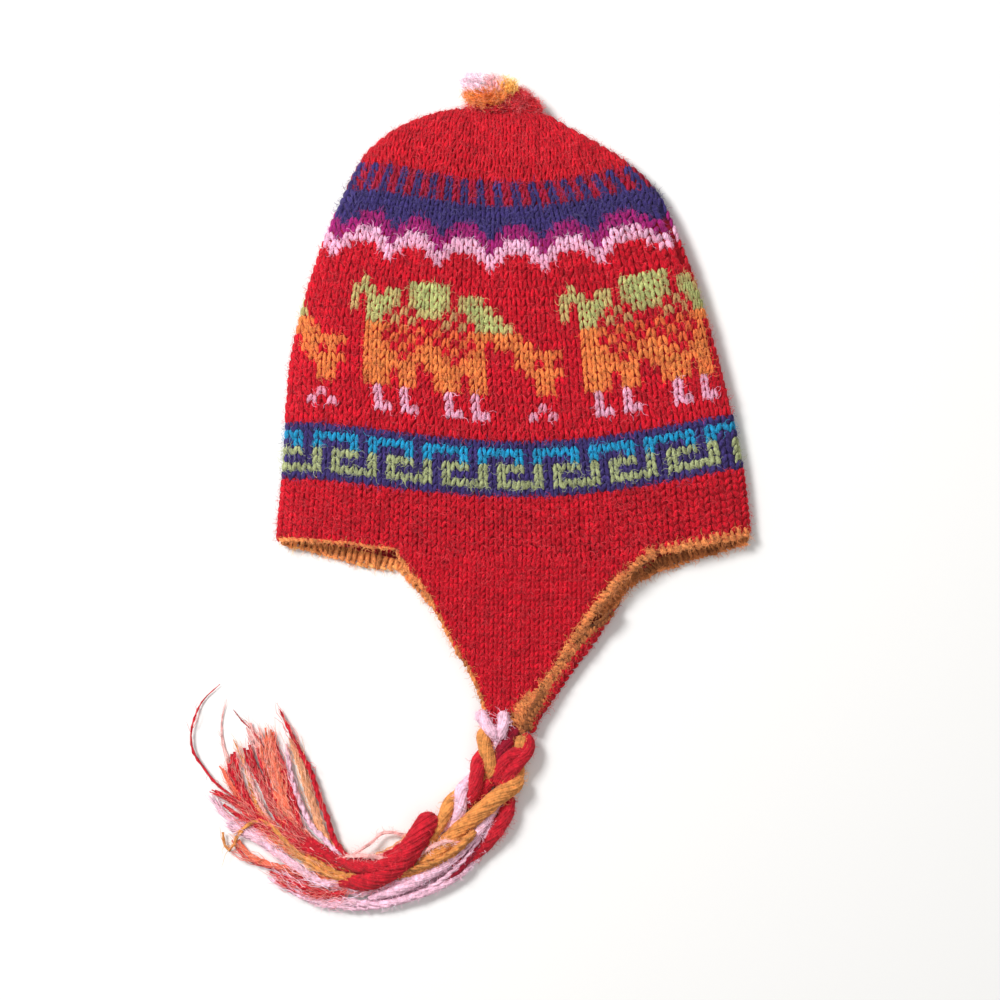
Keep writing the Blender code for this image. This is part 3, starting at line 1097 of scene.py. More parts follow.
@dataclass
class FlapForm:
    """The middle surface of one ear flap.

    A row is a section across the flap: its Y, where its left and right edges lie, how high the
    middle of the cloth is (mm), and how far the right edge curls up and over (degrees).
    """

    cap: CapForm
    rows: tuple
    attach: tuple
    upper: bool
    gap: float = 0.35 * MM
    curl_length: float = 8.4 * MM
    curl_share: float = 1.0 / 3.0
    hem_reach: float = 3.2 * MM

    @property
    def flat(self) -> float:
        """The share of the steps across the flap that its flat part takes."""
        return 1.0 - self.curl_share if any(row[4] for row in self.rows) else 1.0

    def rim_point(self, x: float) -> Vector:
        """The middle of the wall's edge at the rim, at a place across the cap.

        Args:
            x: How far across the cap it is.

        Returns:
            The point.
        """
        course = self.cap.course(0.0)
        half_width = (course["right_x"] - course["left_x"]) / 2 - self.cap.wall / 2
        side = (x - (course["left_x"] + course["right_x"]) / 2) / half_width
        turn = math.acos(max(-1.0, min(1.0, -side)))
        turn = turn if self.upper else 2 * math.pi - turn
        return self.cap.point(0.0, turn, self.cap.wall / 2)

    def _section(self, row: tuple, u: float) -> Vector:
        """A point across one row, flat first and then the curl.

        Args:
            row: The section's row.
            u: How far across it is.

        Returns:
            The point.
        """
        y, left, right, height, curl = (part * MM for part in row)
        curl = math.radians(curl / MM)
        if curl == 0.0:
            return Vector((left + (right - left) * u, y, height))
        radius = self.curl_length / curl
        bend_x = right - radius * math.sin(min(curl, math.pi / 2))
        if u <= self.flat:
            return Vector((left + (bend_x - left) * u / self.flat, y, height))
        reach = self.hem_reach * max(0.0, -math.cos(curl))
        travelled = (self.curl_length + reach) * (u - self.flat) / (1.0 - self.flat)
        turned = min(curl, travelled / radius)
        beyond = max(0.0, travelled - self.curl_length)
        x = bend_x + radius * math.sin(turned) + beyond * math.cos(curl)
        rise = radius * (1.0 - math.cos(turned)) + beyond * math.sin(curl)
        return Vector((x, y, height + rise))

    def _top(self, u: float) -> Vector:
        """A point just under the rim, where the flap begins.

        Args:
            u: How far across it is.

        Returns:
            The point.
        """
        left, right = (part * MM for part in self.attach)
        flat = self.flat
        if flat == 1.0:
            x = left + (right - left) * u
        elif u <= flat:
            x = left + (right - self.curl_length - left) * u / flat
        else:
            x = right - self.curl_length * (1.0 - u) / (1.0 - flat)
        return self.rim_point(x) - Vector((0.0, self.gap, 0.0))

    def point(self, u: float, v: float) -> Vector:
        """A point of the flap.

        Args:
            u: How far across, 0 at the left edge and 1 at the right one.
            v: How far down, 0 under the rim and 1 at the tip.

        Returns:
            The point.
        """
        sections = [self._top(u)] + [self._section(row, u) for row in self.rows]
        middle = self._top(0.5)
        places = [-middle.y] + [-row[0] * MM for row in self.rows]
        place = places[0] + (places[-1] - places[0]) * v
        return Vector([smooth_value(axis, place, places) for axis in zip(*sections)])

    def frame(self, u: float, v: float) -> tuple[Vector, Vector, Vector]:
        """The point with the direction across the flap and the cloth's upward normal.

        Args:
            u: How far across it is.
            v: How far down it is.

        Returns:
            The point, the direction and the normal.
        """
        here = self.point(u, v)
        along = self.point(min(u + NUDGE, 1.0), v) - self.point(max(u - NUDGE, 0.0), v)
        up = self.point(u, max(v - NUDGE, 0.0)) - self.point(u, min(v + NUDGE, 1.0))
        return here, along.normalized(), along.cross(up).normalized()

    def place_for(self, x: float, v: float) -> float:
        """How far across the flap an X lies, for a flap that doesn't curl."""
        left = self.point(0.0, v).x
        right = self.point(1.0, v).x
        return (x - left) / (right - left)


NEAR_ROWS = (
    (-88, -57, 62.2, 12.7, 0),
    (-96, -49.8, 53.2, 11.9, 0),
    (-105, -44.2, 46.2, 11, 0),
    (-117, -38, 37.6, 9.9, 0),
    (-130, -31.3, 29, 8.8, 0),
    (-142.5, -23.8, 21.8, 7.8, 0),
    (-153, -18.3, 13.8, 7.2, 0),
    (-162.5, -15.8, 3.6, 7.1, 0),
    (-168, -14.6, -2, 7.1, 0),
    (-174, -13.2, -6.4, 6.8, 0),
)
FAR_ROWS = (
    (-99.5, -48, 61, 1.5, 10),
    (-107, -42, 56.8, 1.5, 50),
    (-114.5, -36, 51.8, 1.5, 105),
    (-125, -29, 45, 1.5, 155),
    (-141, -19.5, 33, 1.5, 165),
    (-152, -13.5, 25.2, 1.5, 165),
    (-162, -8, 18.5, 1.5, 145),
    (-170, -4, 13.2, 1.5, 140),
    (-177, -1.5, 10, 1.5, 110),
)


@dataclass
class EarFlap:
    """One knitted ear flap: its cloth, and the stitches of its public face.

    The last stitch of a line is left out where less than least_share of it has room.
    """

    form: FlapForm
    name: str
    node: str
    pitch: float = 4.8 * MM
    row_height: float = 3.4 * MM
    upper_sink: float = 0.35 * MM
    lower_sink: float = 1.25 * MM
    seam_drop: float = -0.8 * MM
    margin: float = 1.3 * MM
    wale_lean: float = -1.5 * MM
    wale_scale: float = 0.95
    least_share: float = 0.3
    steps: int = 60
    curl_steps: int = 48
    stitch_tilt: float = 0.10
    unevenness: float = 0.07
    ground_steps: tuple[int, int] = (32, 36)
    # How dark the cloth behind the stitches is painted, as shade.
    ground_painted_shade: float = 0.72
    ground_wall: float = 1.5 * MM
    places: list = field(default_factory=list)

    def build(self) -> list[Object]:
        """Make the flap.

        Returns:
            The cloth and the stitches.
        """
        dice = random.Random(SEED + len(self.name))
        shape = FACE_STITCH.mesh(self.name + "_one")
        self.places = self._near_places(dice) if self.form.upper else self._far_places(dice)
        stitches = copy_to(self.name + "_stitches", shape, self.places, KNIT.material())
        cloth = self._cloth()
        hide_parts(self.node)
        return [cloth, stitches]

    def _stitch(self, frame: tuple, sink: float, facing: float, dice: random.Random) -> Place:
        """Seat a stitch on the public face of the cloth.

        Args:
            frame: The cloth's point, direction and normal.
            sink: How deep it sits.
            facing: 1 on the upper face, -1 on the lower one.
            dice: The source of small differences.

        Returns:
            Its place.
        """
        point, along, normal = frame
        outward = normal * facing
        seat = point + outward * (self.form.cap.wall / 2 - sink)
        colour = lit(Yarn.RED.value, 1.0 + dice.gauss(0.0, self.unevenness))
        size = Vector((
            self.pitch * dice.uniform(0.96, 1.05),
            self.row_height * dice.uniform(0.94, 1.06),
            STITCH_DEPTH * dice.uniform(0.9, 1.08),
        ))
        turn = axes_turn(along * facing, outward)
        tilt = Quaternion(UP, dice.gauss(0.0, self.stitch_tilt))
        return Place(seat, turn @ tilt, size, colour)

    def _near_places(self, dice: random.Random) -> list[Place]:
        """Seat the stitches in upright wales that go on from the rim and end at the edges.

        Args:
            dice: The source of small differences.

        Returns:
            The stitches' places.
        """
        places = []
        course = self.form.cap.course(0.0)
        middle = (course["left_x"] + course["right_x"]) / 2
        numbers, shares = zip(*KEYED)
        marks = [step / self.steps for step in range(self.steps + 1)]
        for number in range(int(numbers[-1])):
            share = float(np.interp(number, numbers, shares))
            wale_x = course["left_x"] + share * (course["right_x"] - course["left_x"])
            wale_x = middle + (wale_x - middle) * self.wale_scale
            line = []
            for v in marks:
                u = self.form.place_for(wale_x + self.wale_lean * v, v)
                line.append((v, u, self.form.point(min(1.0, max(0.0, u)), v).y))
            drops = [line[0][2] - y for _, _, y in line]
            drop = self.seam_drop
            while drop < drops[-1] - self.least_share * self.row_height:
                v = float(np.interp(drop, drops, marks))
                u = float(np.interp(drop, drops, [u for _, u, _ in line]))
                width = self.form.point(1.0, v).x - self.form.point(0.0, v).x
                if self.margin < u * width < width - self.margin:
                    frame = self.form.frame(u, v)
                    places.append(self._stitch(frame, self.upper_sink, 1.0, dice))
                drop += self.row_height
        return places

    def _far_places(self, dice: random.Random) -> list[Place]:
        """Seat the stitches on the face that lies down, in wales along the curled edge.

        Args:
            dice: The source of small differences.

        Returns:
            The stitches' places.
        """
        places = []
        long = self.form.point(0.5, 0.0).y - self.form.point(0.5, 1.0).y
        count = round(long / self.row_height)
        marks = [step / self.curl_steps for step in range(self.curl_steps, -1, -1)]
        for row in range(count):
            v = (row + 0.5) / count
            lengths = lengths_along([self.form.point(mark, v) for mark in marks])
            length = 0.5 * self.pitch
            while length < lengths[-1] - self.least_share * self.pitch:
                u = float(np.interp(length, lengths, marks))
                frame = self.form.frame(u, v)
                level = min(1.0, max(0.0, 1.0 - frame[2].z))
                sink = self.lower_sink + (self.upper_sink - self.lower_sink) * level
                places.append(self._stitch(frame, sink, -1.0, dice))
                length += self.pitch
        return places

    def _cloth(self) -> Object:
        """The cloth behind the stitches, its red painted darker as the shade between them.

        Returns:
            The cloth piece.
        """
        # Painted shade: the red yarn darkened for the shade behind the stitches.
        dye = lit(Yarn.RED.value, self.ground_painted_shade)

        def place(u: float, v: float) -> tuple[Vector, Sequence]:
            """A point of the cloth and its dye."""
            return self.form.point(u, v), dye

        return knit_wall(self.name + "_cloth", self.ground_steps, place, self.ground_wall, 0.0)


@dataclass
class HemPoint:
    """One sample of the hem: where it is, which way it faces, and the cloth's upward normal."""

    point: Vector
    facing: Vector
    normal: Vector


@dataclass
class Hem:
    """The hem once round: the upper rim with the near flap, the lower rim with the far one."""

    near: FlapForm
    far: FlapForm
    rim_steps: int = 400
    flap_steps: int = 120
    tip_steps: int = 9
    rim_nudge: float = 0.4 * MM
    flap_nudge: float = 0.01

    def half(self, flap: FlapForm) -> list[HemPoint]:
        """Half of the hem, from the left fold to the right one by way of one flap.

        Args:
            flap: The flap.

        Returns:
            The samples.
        """
        left, right = (part * MM for part in flap.attach)
        course = flap.cap.course(0.0)
        low = course["left_x"] + flap.cap.wall / 2
        high = course["right_x"] - flap.cap.wall / 2
        middle = (low + high) / 2
        half = (high - low) / 2
        samples = []
        steps = self.rim_steps
        xs = [middle - half * math.cos(math.pi * step / steps) for step in range(steps + 1)]
        samples += [self._rim(flap, x) for x in xs if x < left]
        samples += self._flap(flap)
        samples += [self._rim(flap, x) for x in xs if x > right]
        return samples

    def _rim(self, flap: FlapForm, x: float) -> HemPoint:
        """A sample of the bare rim.

        Args:
            flap: The flap of that rim.
            x: How far across it is.

        Returns:
            The sample.
        """
        point = flap.rim_point(x)
        ahead = flap.rim_point(x + self.rim_nudge)
        along = (ahead - flap.rim_point(x - self.rim_nudge)).normalized()
        down = Vector((0.0, -1.0, 0.0))
        facing = (down - along * down.dot(along)).normalized()
        return HemPoint(point, facing, facing.cross(along).normalized())

    def _flap(self, flap: FlapForm) -> list[HemPoint]:
        """Samples along the flap's left edge, its tip and its right edge.

        Args:
            flap: The flap.

        Returns:
            The samples.
        """
        samples = []
        steps = [step / self.flap_steps for step in range(1, self.flap_steps + 1)]
        for v in steps:
            samples.append(self._edge(flap, 0.0, v))
        for step in range(1, self.tip_steps):
            point, along, normal = flap.frame(step / self.tip_steps, 1.0)
            facing = along.cross(normal).normalized()
            samples.append(HemPoint(point, facing, normal))
        for v in reversed(steps):
            samples.append(self._edge(flap, 1.0, v))
        return samples

    def _edge(self, flap: FlapForm, u: float, v: float) -> HemPoint:
        """A sample of a side edge of the flap.

        Args:
            flap: The flap.
            u: 0 for its left edge, 1 for its right one.
            v: How far down it is.

        Returns:
            The sample.
        """
        nudge = self.flap_nudge
        inner = 1 if u == 0.0 else -1
        point, _, normal = flap.frame(u, v)
        across = (point - flap.point(u + inner * nudge, v)).normalized()
        down = flap.point(u, min(v + nudge, 1.0)) - flap.point(u, max(v - nudge, 0.0))
        down.normalize()
        facing = (across - down * across.dot(down)).normalized()
        return HemPoint(point, facing, normal)


def bead_shape(name: str) -> Mesh:
    """A plump yarn loop, one unit long in Y, wide in X and thick in Z.

    Args:
        name: The mesh's name.

    Returns:
        The mesh.
    """
    twist = 2.4
    grain = 5.0
    bead = bmesh.new()
    fibre = bead.verts.layers.float_vector.new(FIBRE)
    bmesh.ops.create_uvsphere(bead, u_segments=6, v_segments=5, radius=0.5)
    for corner in bead.verts:
        x, y, z = corner.co
        corner[fibre] = fibre_place(x, y, twist * z, grain, z)
        corner.co = Vector((x, z, y))
    bmesh.ops.recalc_face_normals(bead, faces=bead.faces)
    return mesh_of(name, bead)


# The shade column is painted light and shade: top loops lighter, loops under or in shadow darker.
EDGE_COLUMNS = ("outwards", "lift", "lean", "width", "length", "thickness", "shade")
RIB_COLUMNS = EDGE_COLUMNS + ("share", "stretch")
PUBLIC_LOOPS = (
    (0.3, 1.7, 30, 1.5, 2.9, 1.7, 1.14),
    (1.5, 1.5, 38, 1.8, 3.7, 2.4, 0.98),
    (2.8, 0.9, 50, 1.8, 3.4, 2.4, 0.76),
    (2, -0.5, 90, 5.4, 3.6, 3, 0.42),
)
CURLED_LOOPS = (
    (0.3, 1, 30, 1.6, 3.2, 2, 0.94),
    (1.7, 0.8, 40, 1.8, 3.4, 2.2, 0.78),
    (2.6, -0.4, 90, 5, 3.6, 2.6, 0.42),
)
RIM_LOOPS = (
    (-1, 1.8, 12, 1.9, 4, 1.6, 1.14),
    (0.9, 1.5, 62, 2.2, 4.2, 2.4, 1.04),
    (2.2, 0.8, 74, 2.2, 4.2, 2.4, 0.88),
    (0.8, -0.2, 90, 4.6, 4.4, 3, 0.55),
)
THIN_LOOPS = (
    (0.5, 0.6, 66, 1.9, 4.2, 2.4, 1.08),
    (0, -0.4, 90, 2.6, 4.6, 2.6, 0.66),
)
INNER_RIBS = (
    (-2.4, 1.1, 4, 2.7, 5, 2.4, 0.86, 0.5, 1),
    (-0.7, 0.7, 66, 2, 4, 2.2, 1, 1, 0),
    (-2.6, -0.3, 0, 5, 4.4, 2.2, 0.50, 0.5, 1),
)
# Ribs of the lower layer's edging under the right rim, painted dark as the shade they lie in.
SHADED_RIBS = (
    (-1, 0.9, 6, 2.3, 2, 2.4, 0.60, 0.5, 1),
    (-0.9, 0.6, 62, 1.9, 3.4, 2.2, 0.76, 1, 0),
    (-1.2, -0.3, 0, 5, 1, 2.2, 0.38, 0.5, 1),
)
GAP_LOOPS = (
    (-3.4, -0.6, 30, 1.9, 3.8, 2.4, 0.80),
    (-1.8, -0.1, 28, 1.9, 3.8, 2.4, 0.92),
    (-0.2, 0.2, 26, 1.9, 3.8, 2.4, 0.96),
    (1.4, 0, 26, 1.9, 3.8, 2.4, 0.84),
    (3, -0.5, 24, 1.9, 3.8, 2.4, 0.66),
)
GAP_ROUTE = (
    (44.6, -114.2, 8.2), (47.6, -110, 7.4), (50.8, -106, 6.4), (54.6, -101.8, 5.2),
    (59, -97.6, 4.2), (64.6, -93.2, 3.4), (70, -89.6, 3),
)
RIB_REACHES = (
    (-127, 2), (-120.4, 4.7), (-97.7, 7.2), (-77.2, 8.1), (-65.3, 6.6), (-59.4, 4.6), (-50, 3.8),
    (-35, 2.6), (0, 2.4), (60, 1.2), (63, 1.6), (67, 3), (72, 5.2), (82, 8.4), (96, 7.2), (108, 8),
    (124.7, 7), (129, 4.5),
)
TURNED_LOOPS = (
    (-4.4, -0.2, 30, 1.8, 3.6, 2.2, 0.86),
    (-2.9, 0.2, 26, 1.8, 3.8, 2.4, 1.02),
    (-1.3, 0.4, 24, 1.8, 3.8, 2.4, 1.05),
    (0.4, 0.3, 22, 1.8, 3.8, 2.4, 0.94),
    (2, 0.1, 22, 1.8, 3.6, 2.4, 0.80),
    (3.5, -0.3, 22, 1.8, 3.6, 2.2, 0.66),
)
TURNED_ROUTE = (
    (13.8, -156, 8.2), (10, -161.6, 8.4), (6.2, -166.2, 8.2), (3.4, -170.4, 8), (1.8, -174.7, 7.6),
    (1.2, -181.2, 7),
)


@dataclass
class Edging:
    """The crocheted edging.

    A loop's row says how far outside the hem's middle it lies and how high above it (mm), how far
    it leans from straight outwards (degrees), its sizes (mm) and how light it is painted: loops on
    top are painted lighter, and loops turned under or in the other layer's shadow darker, as
    painted light and shade.
    """

    hem: Hem
    spacing: float = 2.3 * MM
    rim_spacing: float = 3.8 * MM
    thin_spacing: float = 2.7 * MM
    rib_spacing: float = 3.3 * MM
    shaded_rib_spacing: float = 2.7 * MM
    floor: float = 0.25 * MM
    tip_x: float = -10.0 * MM
    tip_y: float = -167.0 * MM
    rim_x: float = 76.0 * MM
    far_tip_y: float = -160.0 * MM
    strip_steps: int = 60
    lean_spread: float = 7.0
    light_spread: float = 0.2
    outwards_spread: float = 0.25
    lift_spread: float = 0.12
    places: list = field(default_factory=list)

    def build(self) -> list[Object]:
        """Make the edging.

        Returns:
            One piece.
        """
        dice = random.Random(SEED + 40)
        lower = self.hem.half(self.hem.far)
        upper = self.hem.half(self.hem.near)
        upper = [sample for sample in upper if sample.point.y > self.tip_y]
        left = [sample for sample in upper if sample.point.x < self.tip_x]
        right = [sample for sample in upper if self.tip_x <= sample.point.x < self.rim_x]
        rim = [sample for sample in upper if sample.point.x >= self.rim_x]
        curled = [sample for sample in lower if sample.normal.z < 0.0]
        flat = [sample for sample in lower if sample.normal.z >= 0.0]
        flat = [sample for sample in flat if sample.point.y > self.far_tip_y]
        inner = [sample for sample in flat if sample.point.x < 0.0]
        outer = [sample for sample in flat if sample.point.x >= 0.0]
        # Each stretch's last number is painted light and shade for the whole stretch.
        for samples, loops, spacing, shade in (
            (left, THIN_LOOPS, self.thin_spacing, 1.0),
            (right, PUBLIC_LOOPS, self.spacing, 1.0),
            (rim, RIM_LOOPS, self.rim_spacing, 1.0),
            (curled, CURLED_LOOPS, self.spacing, 0.9),
            (self._strip(GAP_ROUTE), GAP_LOOPS, self.spacing, 1.0),
            (inner, INNER_RIBS, self.rib_spacing, 1.45),
            (outer, SHADED_RIBS, self.shaded_rib_spacing, 1.2),
            (self._strip(TURNED_ROUTE), TURNED_LOOPS, self.spacing, 0.9),
        ):
            self._lay(samples, loops, spacing, shade, dice)
        trim = copy_to("crochet_edging", bead_shape("loop"), self.places, TRIM.material())
        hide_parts("edging")
        return [trim]

    def _strip(self, route: tuple) -> list[HemPoint]:
        """A stretch of edging along a charted route, facing up.

        Args:
            route: The route (mm).

        Returns:
            The samples.
        """
        line = charted_path(route, self.strip_steps)
        samples = []
        for before, after in zip(line, line[1:]):
            facing = UP.cross((after - before).normalized()).normalized()
            samples.append(HemPoint(after, facing, UP))
        return samples

    def _lay(
        self, samples: list[HemPoint], loops: tuple, spacing: float, shade: float,
        dice: random.Random,
    ) -> None:
        """Lay one kind of loops along a stretch of the hem.

        Args:
            samples: The stretch.
            loops: The rows of one stitch.
            spacing: From one stitch to the next.
            shade: How light the stretch is painted, as painted light and shade.
            dice: The source of small differences.
        """
        travelled = 0.0
        for before, after in zip(samples, samples[1:]):
            step = (after.point - before.point).length
            if step > 2 * spacing:
                continue
            travelled += step
            if travelled < spacing or step == 0.0:
                continue
            travelled -= spacing
            along = (after.point - before.point).normalized()
            for row in loops:
                self.places.append(self._loop(after, along, row, shade, dice))

    def _loop(
        self, sample: HemPoint, along: Vector, row: tuple, shade: float, dice: random.Random
    ) -> Place:
        """Place one loop of yarn.

        Args:
            sample: The hem at the loop.
            along: The way the hem runs.
            row: The loop's row of the table.
            shade: How light the stretch is painted, as painted light and shade.
            dice: The source of small differences.

        Returns:
            Its place.
        """
        loop = {"share": 0.0, "stretch": 0.0, **dict(zip(RIB_COLUMNS, row))}
        reach = float(np.interp(sample.point.x / MM, *zip(*RIB_REACHES)))
        outwards = loop["outwards"] + loop["share"] * reach
        up = sample.normal if sample.normal.z > 0 else -sample.normal
        lean = math.radians(loop["lean"] + dice.gauss(0.0, self.lean_spread))
        way = sample.facing * math.cos(lean) + along * math.sin(lean)
        # Painted light and shade from the stretch and the row, times a random tone.
        light = shade * loop["shade"] * (1.0 + dice.gauss(0.0, self.light_spread))
        colour = lit(Yarn.TRIM.value, light)
        outwards += dice.gauss(0.0, self.outwards_spread)
        lift = loop["lift"] + dice.gauss(0.0, self.lift_spread)
        seat = sample.point + sample.facing * outwards * MM + up * lift * MM
        seat.z = max(seat.z, loop["thickness"] * MM / 2 + self.floor)
        length = loop["length"] + loop["stretch"] * reach
        size = Vector((loop["width"], length, loop["thickness"])) * MM
        size *= dice.uniform(0.92, 1.1)
        return Place(seat, axes_turn(way.cross(up), up), size, colour)


@dataclass
class Thread:
    """One spun thread along a path. Its plies wind round the path, one turn in each lay."""

    path: list[Vector]
    radii: list[float]
    colour: tuple[float, float, float]
    plies: int = 2
    lay: float = 7.0 * MM
    phase: float = 0.0
    ply_reach: float = 0.42
    ply_share: float = 0.60

    def split(self) -> list[tuple[list[Vector], list[float]]]:
        """The path and the radii of each ply.

        Returns:
            The plies.
        """
        if self.plies == 1:
            return [(self.path, self.radii)]
        sides = []
        normal = UP
        for tangent in tangents(self.path):
            normal = (normal - tangent * normal.dot(tangent)).normalized()
            sides.append((normal, tangent.cross(normal)))
        lengths = lengths_along(self.path)
        made = []
        for ply in range(self.plies):
            path = []
            for index, (first, second) in enumerate(sides):
                turns = lengths[index] / self.lay + ply / self.plies
                angle = 2 * math.pi * turns + self.phase
                way = first * math.cos(angle) + second * math.sin(angle)
                path.append(self.path[index] + way * self.radii[index] * self.ply_reach)
            made.append((path, [radius * self.ply_share for radius in self.radii]))
        return made


def smooth_path(route: Sequence[Vector], count: int) -> list[Vector]:
    """Points on a smooth curve through a route's own points.

    Args:
        route: The route's points.
        count: How many points to make.

    Returns:
        The points.
    """
    places = lengths_along(route)
    marks = [places[-1] * step / (count - 1) for step in range(count)]
    return [
        Vector([smooth_value(axis, mark, places) for axis in zip(*route)]) for mark in marks
    ]


def charted_path(route: Sequence[tuple], count: int) -> list[Vector]:
    """Points on a smooth curve through a route in millimetres."""
    return smooth_path([Vector(point) * MM for point in route], count)


def spin_threads(
    name: str, threads: Iterable[Thread], material: Material, resolution: int = 1
) -> Object:
    """Make threads into one mesh piece.

    Args:
        name: The piece's name.
        threads: The threads.
        material: The finish.
        resolution: How round the plies are.

    Returns:
        The piece.
    """
    by_colour: dict[tuple, list] = {}
    for thread in threads:
        by_colour.setdefault(thread.colour, []).extend(thread.split())
    whole = bmesh.new()
    layer = whole.verts.layers.float_color.new(COLOUR)
    for colour, plies in by_colour.items():
        curve = bpy.data.curves.new(name + "_curve", "CURVE")
        curve.dimensions = "3D"
        curve.bevel_depth = 1.0
        curve.bevel_resolution = resolution
        curve.use_fill_caps = True
        for path, radii in plies:
            spline = curve.splines.new("POLY")
            spline.points.add(len(path) - 1)
            for knot, point, radius in zip(spline.points, path, radii):
                knot.co = (*point, 1.0)
                knot.radius = radius
        holder = link(bpy.data.objects.new(name + "_holder", curve))
        bpy.context.view_layer.update()
        part = bpy.data.meshes.new_from_object(
            holder.evaluated_get(bpy.context.evaluated_depsgraph_get())
        )
        known = len(whole.verts)
        whole.from_mesh(part)
        whole.verts.ensure_lookup_table()
        for corner in whole.verts[known:]:
            corner[layer] = (*colour, 1.0)
        bpy.data.objects.remove(holder)
        bpy.data.curves.remove(curve)
        bpy.data.meshes.remove(part)
    return piece_from(name, mesh_of(name, whole), material)


class Tie(Enum):
    """The two ties."""

    NEAR = "near"
    FAR = "far"


ROUTES = {
    Tie.NEAR: (
        (-11, -174.9, 11), (-14, -186.6, 8.6), (-17.3, -199.5, 7), (-23.2, -210.3, 6.4),
        (-31.3, -220, 6.4), (-41, -228.7, 6.4), (-51.3, -236.3, 6.4),
    ),
    Tie.FAR: (
        (4.9, -182.9, 6.4), (3.3, -194, 6.4), (0, -205, 6.4), (-5.9, -216.8, 6.4),
        (-13.5, -228.7, 6.4), (-22.1, -239.5, 6.4), (-31.3, -248.3, 6.4),
    ),
}


BRAIDS = {
    Tie.NEAR: (
        (Yarn.TIE_ORANGE, 3.9, 7, (
            (-15.4, -174.6, 8.6), (-15.9, -178.6, 10.4), (-15.2, -184.4, 11.2), (-13.4, -190, 10.8),
            (-12, -195.6, 8.8), (-13.4, -201, 5.6), (-20, -206.6, 4.4), (-28, -210.6, 4.8),
            (-33.4, -214.8, 6.6), (-36.8, -221.6, 8.6), (-40.4, -229, 9.2), (-44.8, -235.4, 8.4),
        )),
        (Yarn.TIE_RED, 3.9, 7, (
            (-9, -180.6, 7), (-12, -185, 6), (-15.6, -188.6, 7), (-18.6, -192.8, 9.6),
            (-19.4, -198.8, 10.4), (-20.2, -204.8, 10), (-21.6, -210.2, 8), (-25.4, -215.2, 5.4),
            (-31.4, -219.8, 4.6), (-40, -227.6, 4.6), (-52.4, -236.8, 4.8),
        )),
        (Yarn.TIE_PINK, 3.6, 6, (
            (-8.8, -181.6, 8.8), (-10.6, -187.5, 5.8), (-14, -193.5, 4.8), (-18.8, -200.2, 4.4),
            (-24, -204.6, 5.6), (-27.6, -208.2, 8.4), (-28.2, -213.8, 9.6), (-28.6, -219.6, 9.2),
            (-31.2, -225.2, 6.4), (-37, -230, 4.6), (-45, -235, 4.6), (-51.5, -239, 5),
        )),
    ),
    Tie.FAR: (
        (Yarn.TIE_RED, 4.2, 8, (
            (6.4, -177.8, 7), (7.9, -182, 7.8), (6.8, -187.6, 9), (2.8, -192.6, 9.8),
            (-1.8, -197.8, 9.8), (-4.2, -203.2, 8), (-4.8, -208.6, 5.2), (-3.8, -213.2, 4.8),
            (-3, -218, 5.6), (-5.2, -224, 6.2), (-9.4, -230.4, 5.6), (-14.2, -236.6, 4.6),
            (-22.5, -244.6, 4.4), (-32.5, -250.2, 4.6),
        )),
        (Yarn.TIE_ORANGE, 3.2, 6, (
            (4.6, -179, 9.4), (3.9, -183.2, 9.6), (3, -188.4, 7.2), (2.8, -194, 4.8),
            (3.2, -198.4, 5), (2.2, -202.2, 7.4), (-1.2, -205.8, 9.4), (-5.2, -209.2, 10),
        )),
        (Yarn.TIE_PINK, 3, 6, (
            (4.4, -182, 4), (1.8, -188, 3.8), (-2, -194.4, 4), (-4.2, -200.4, 4.4),
            (-6.6, -208, 4.8), (-8.6, -215, 6), (-13.4, -223, 7.8), (-19, -230.2, 8.4),
            (-24.6, -237, 8.2), (-33.6, -246.6, 6.8),
        )),
        (Yarn.TIE_PINK, 1.9, 4, (
            (-11, -219.6, 5.6), (-12.6, -225.2, 6.6), (-14.6, -232, 6.4), (-17, -239.2, 5.6),
            (-20.6, -245.4, 4.6), (-27, -251.6, 4.2),
        )),
    ),
}


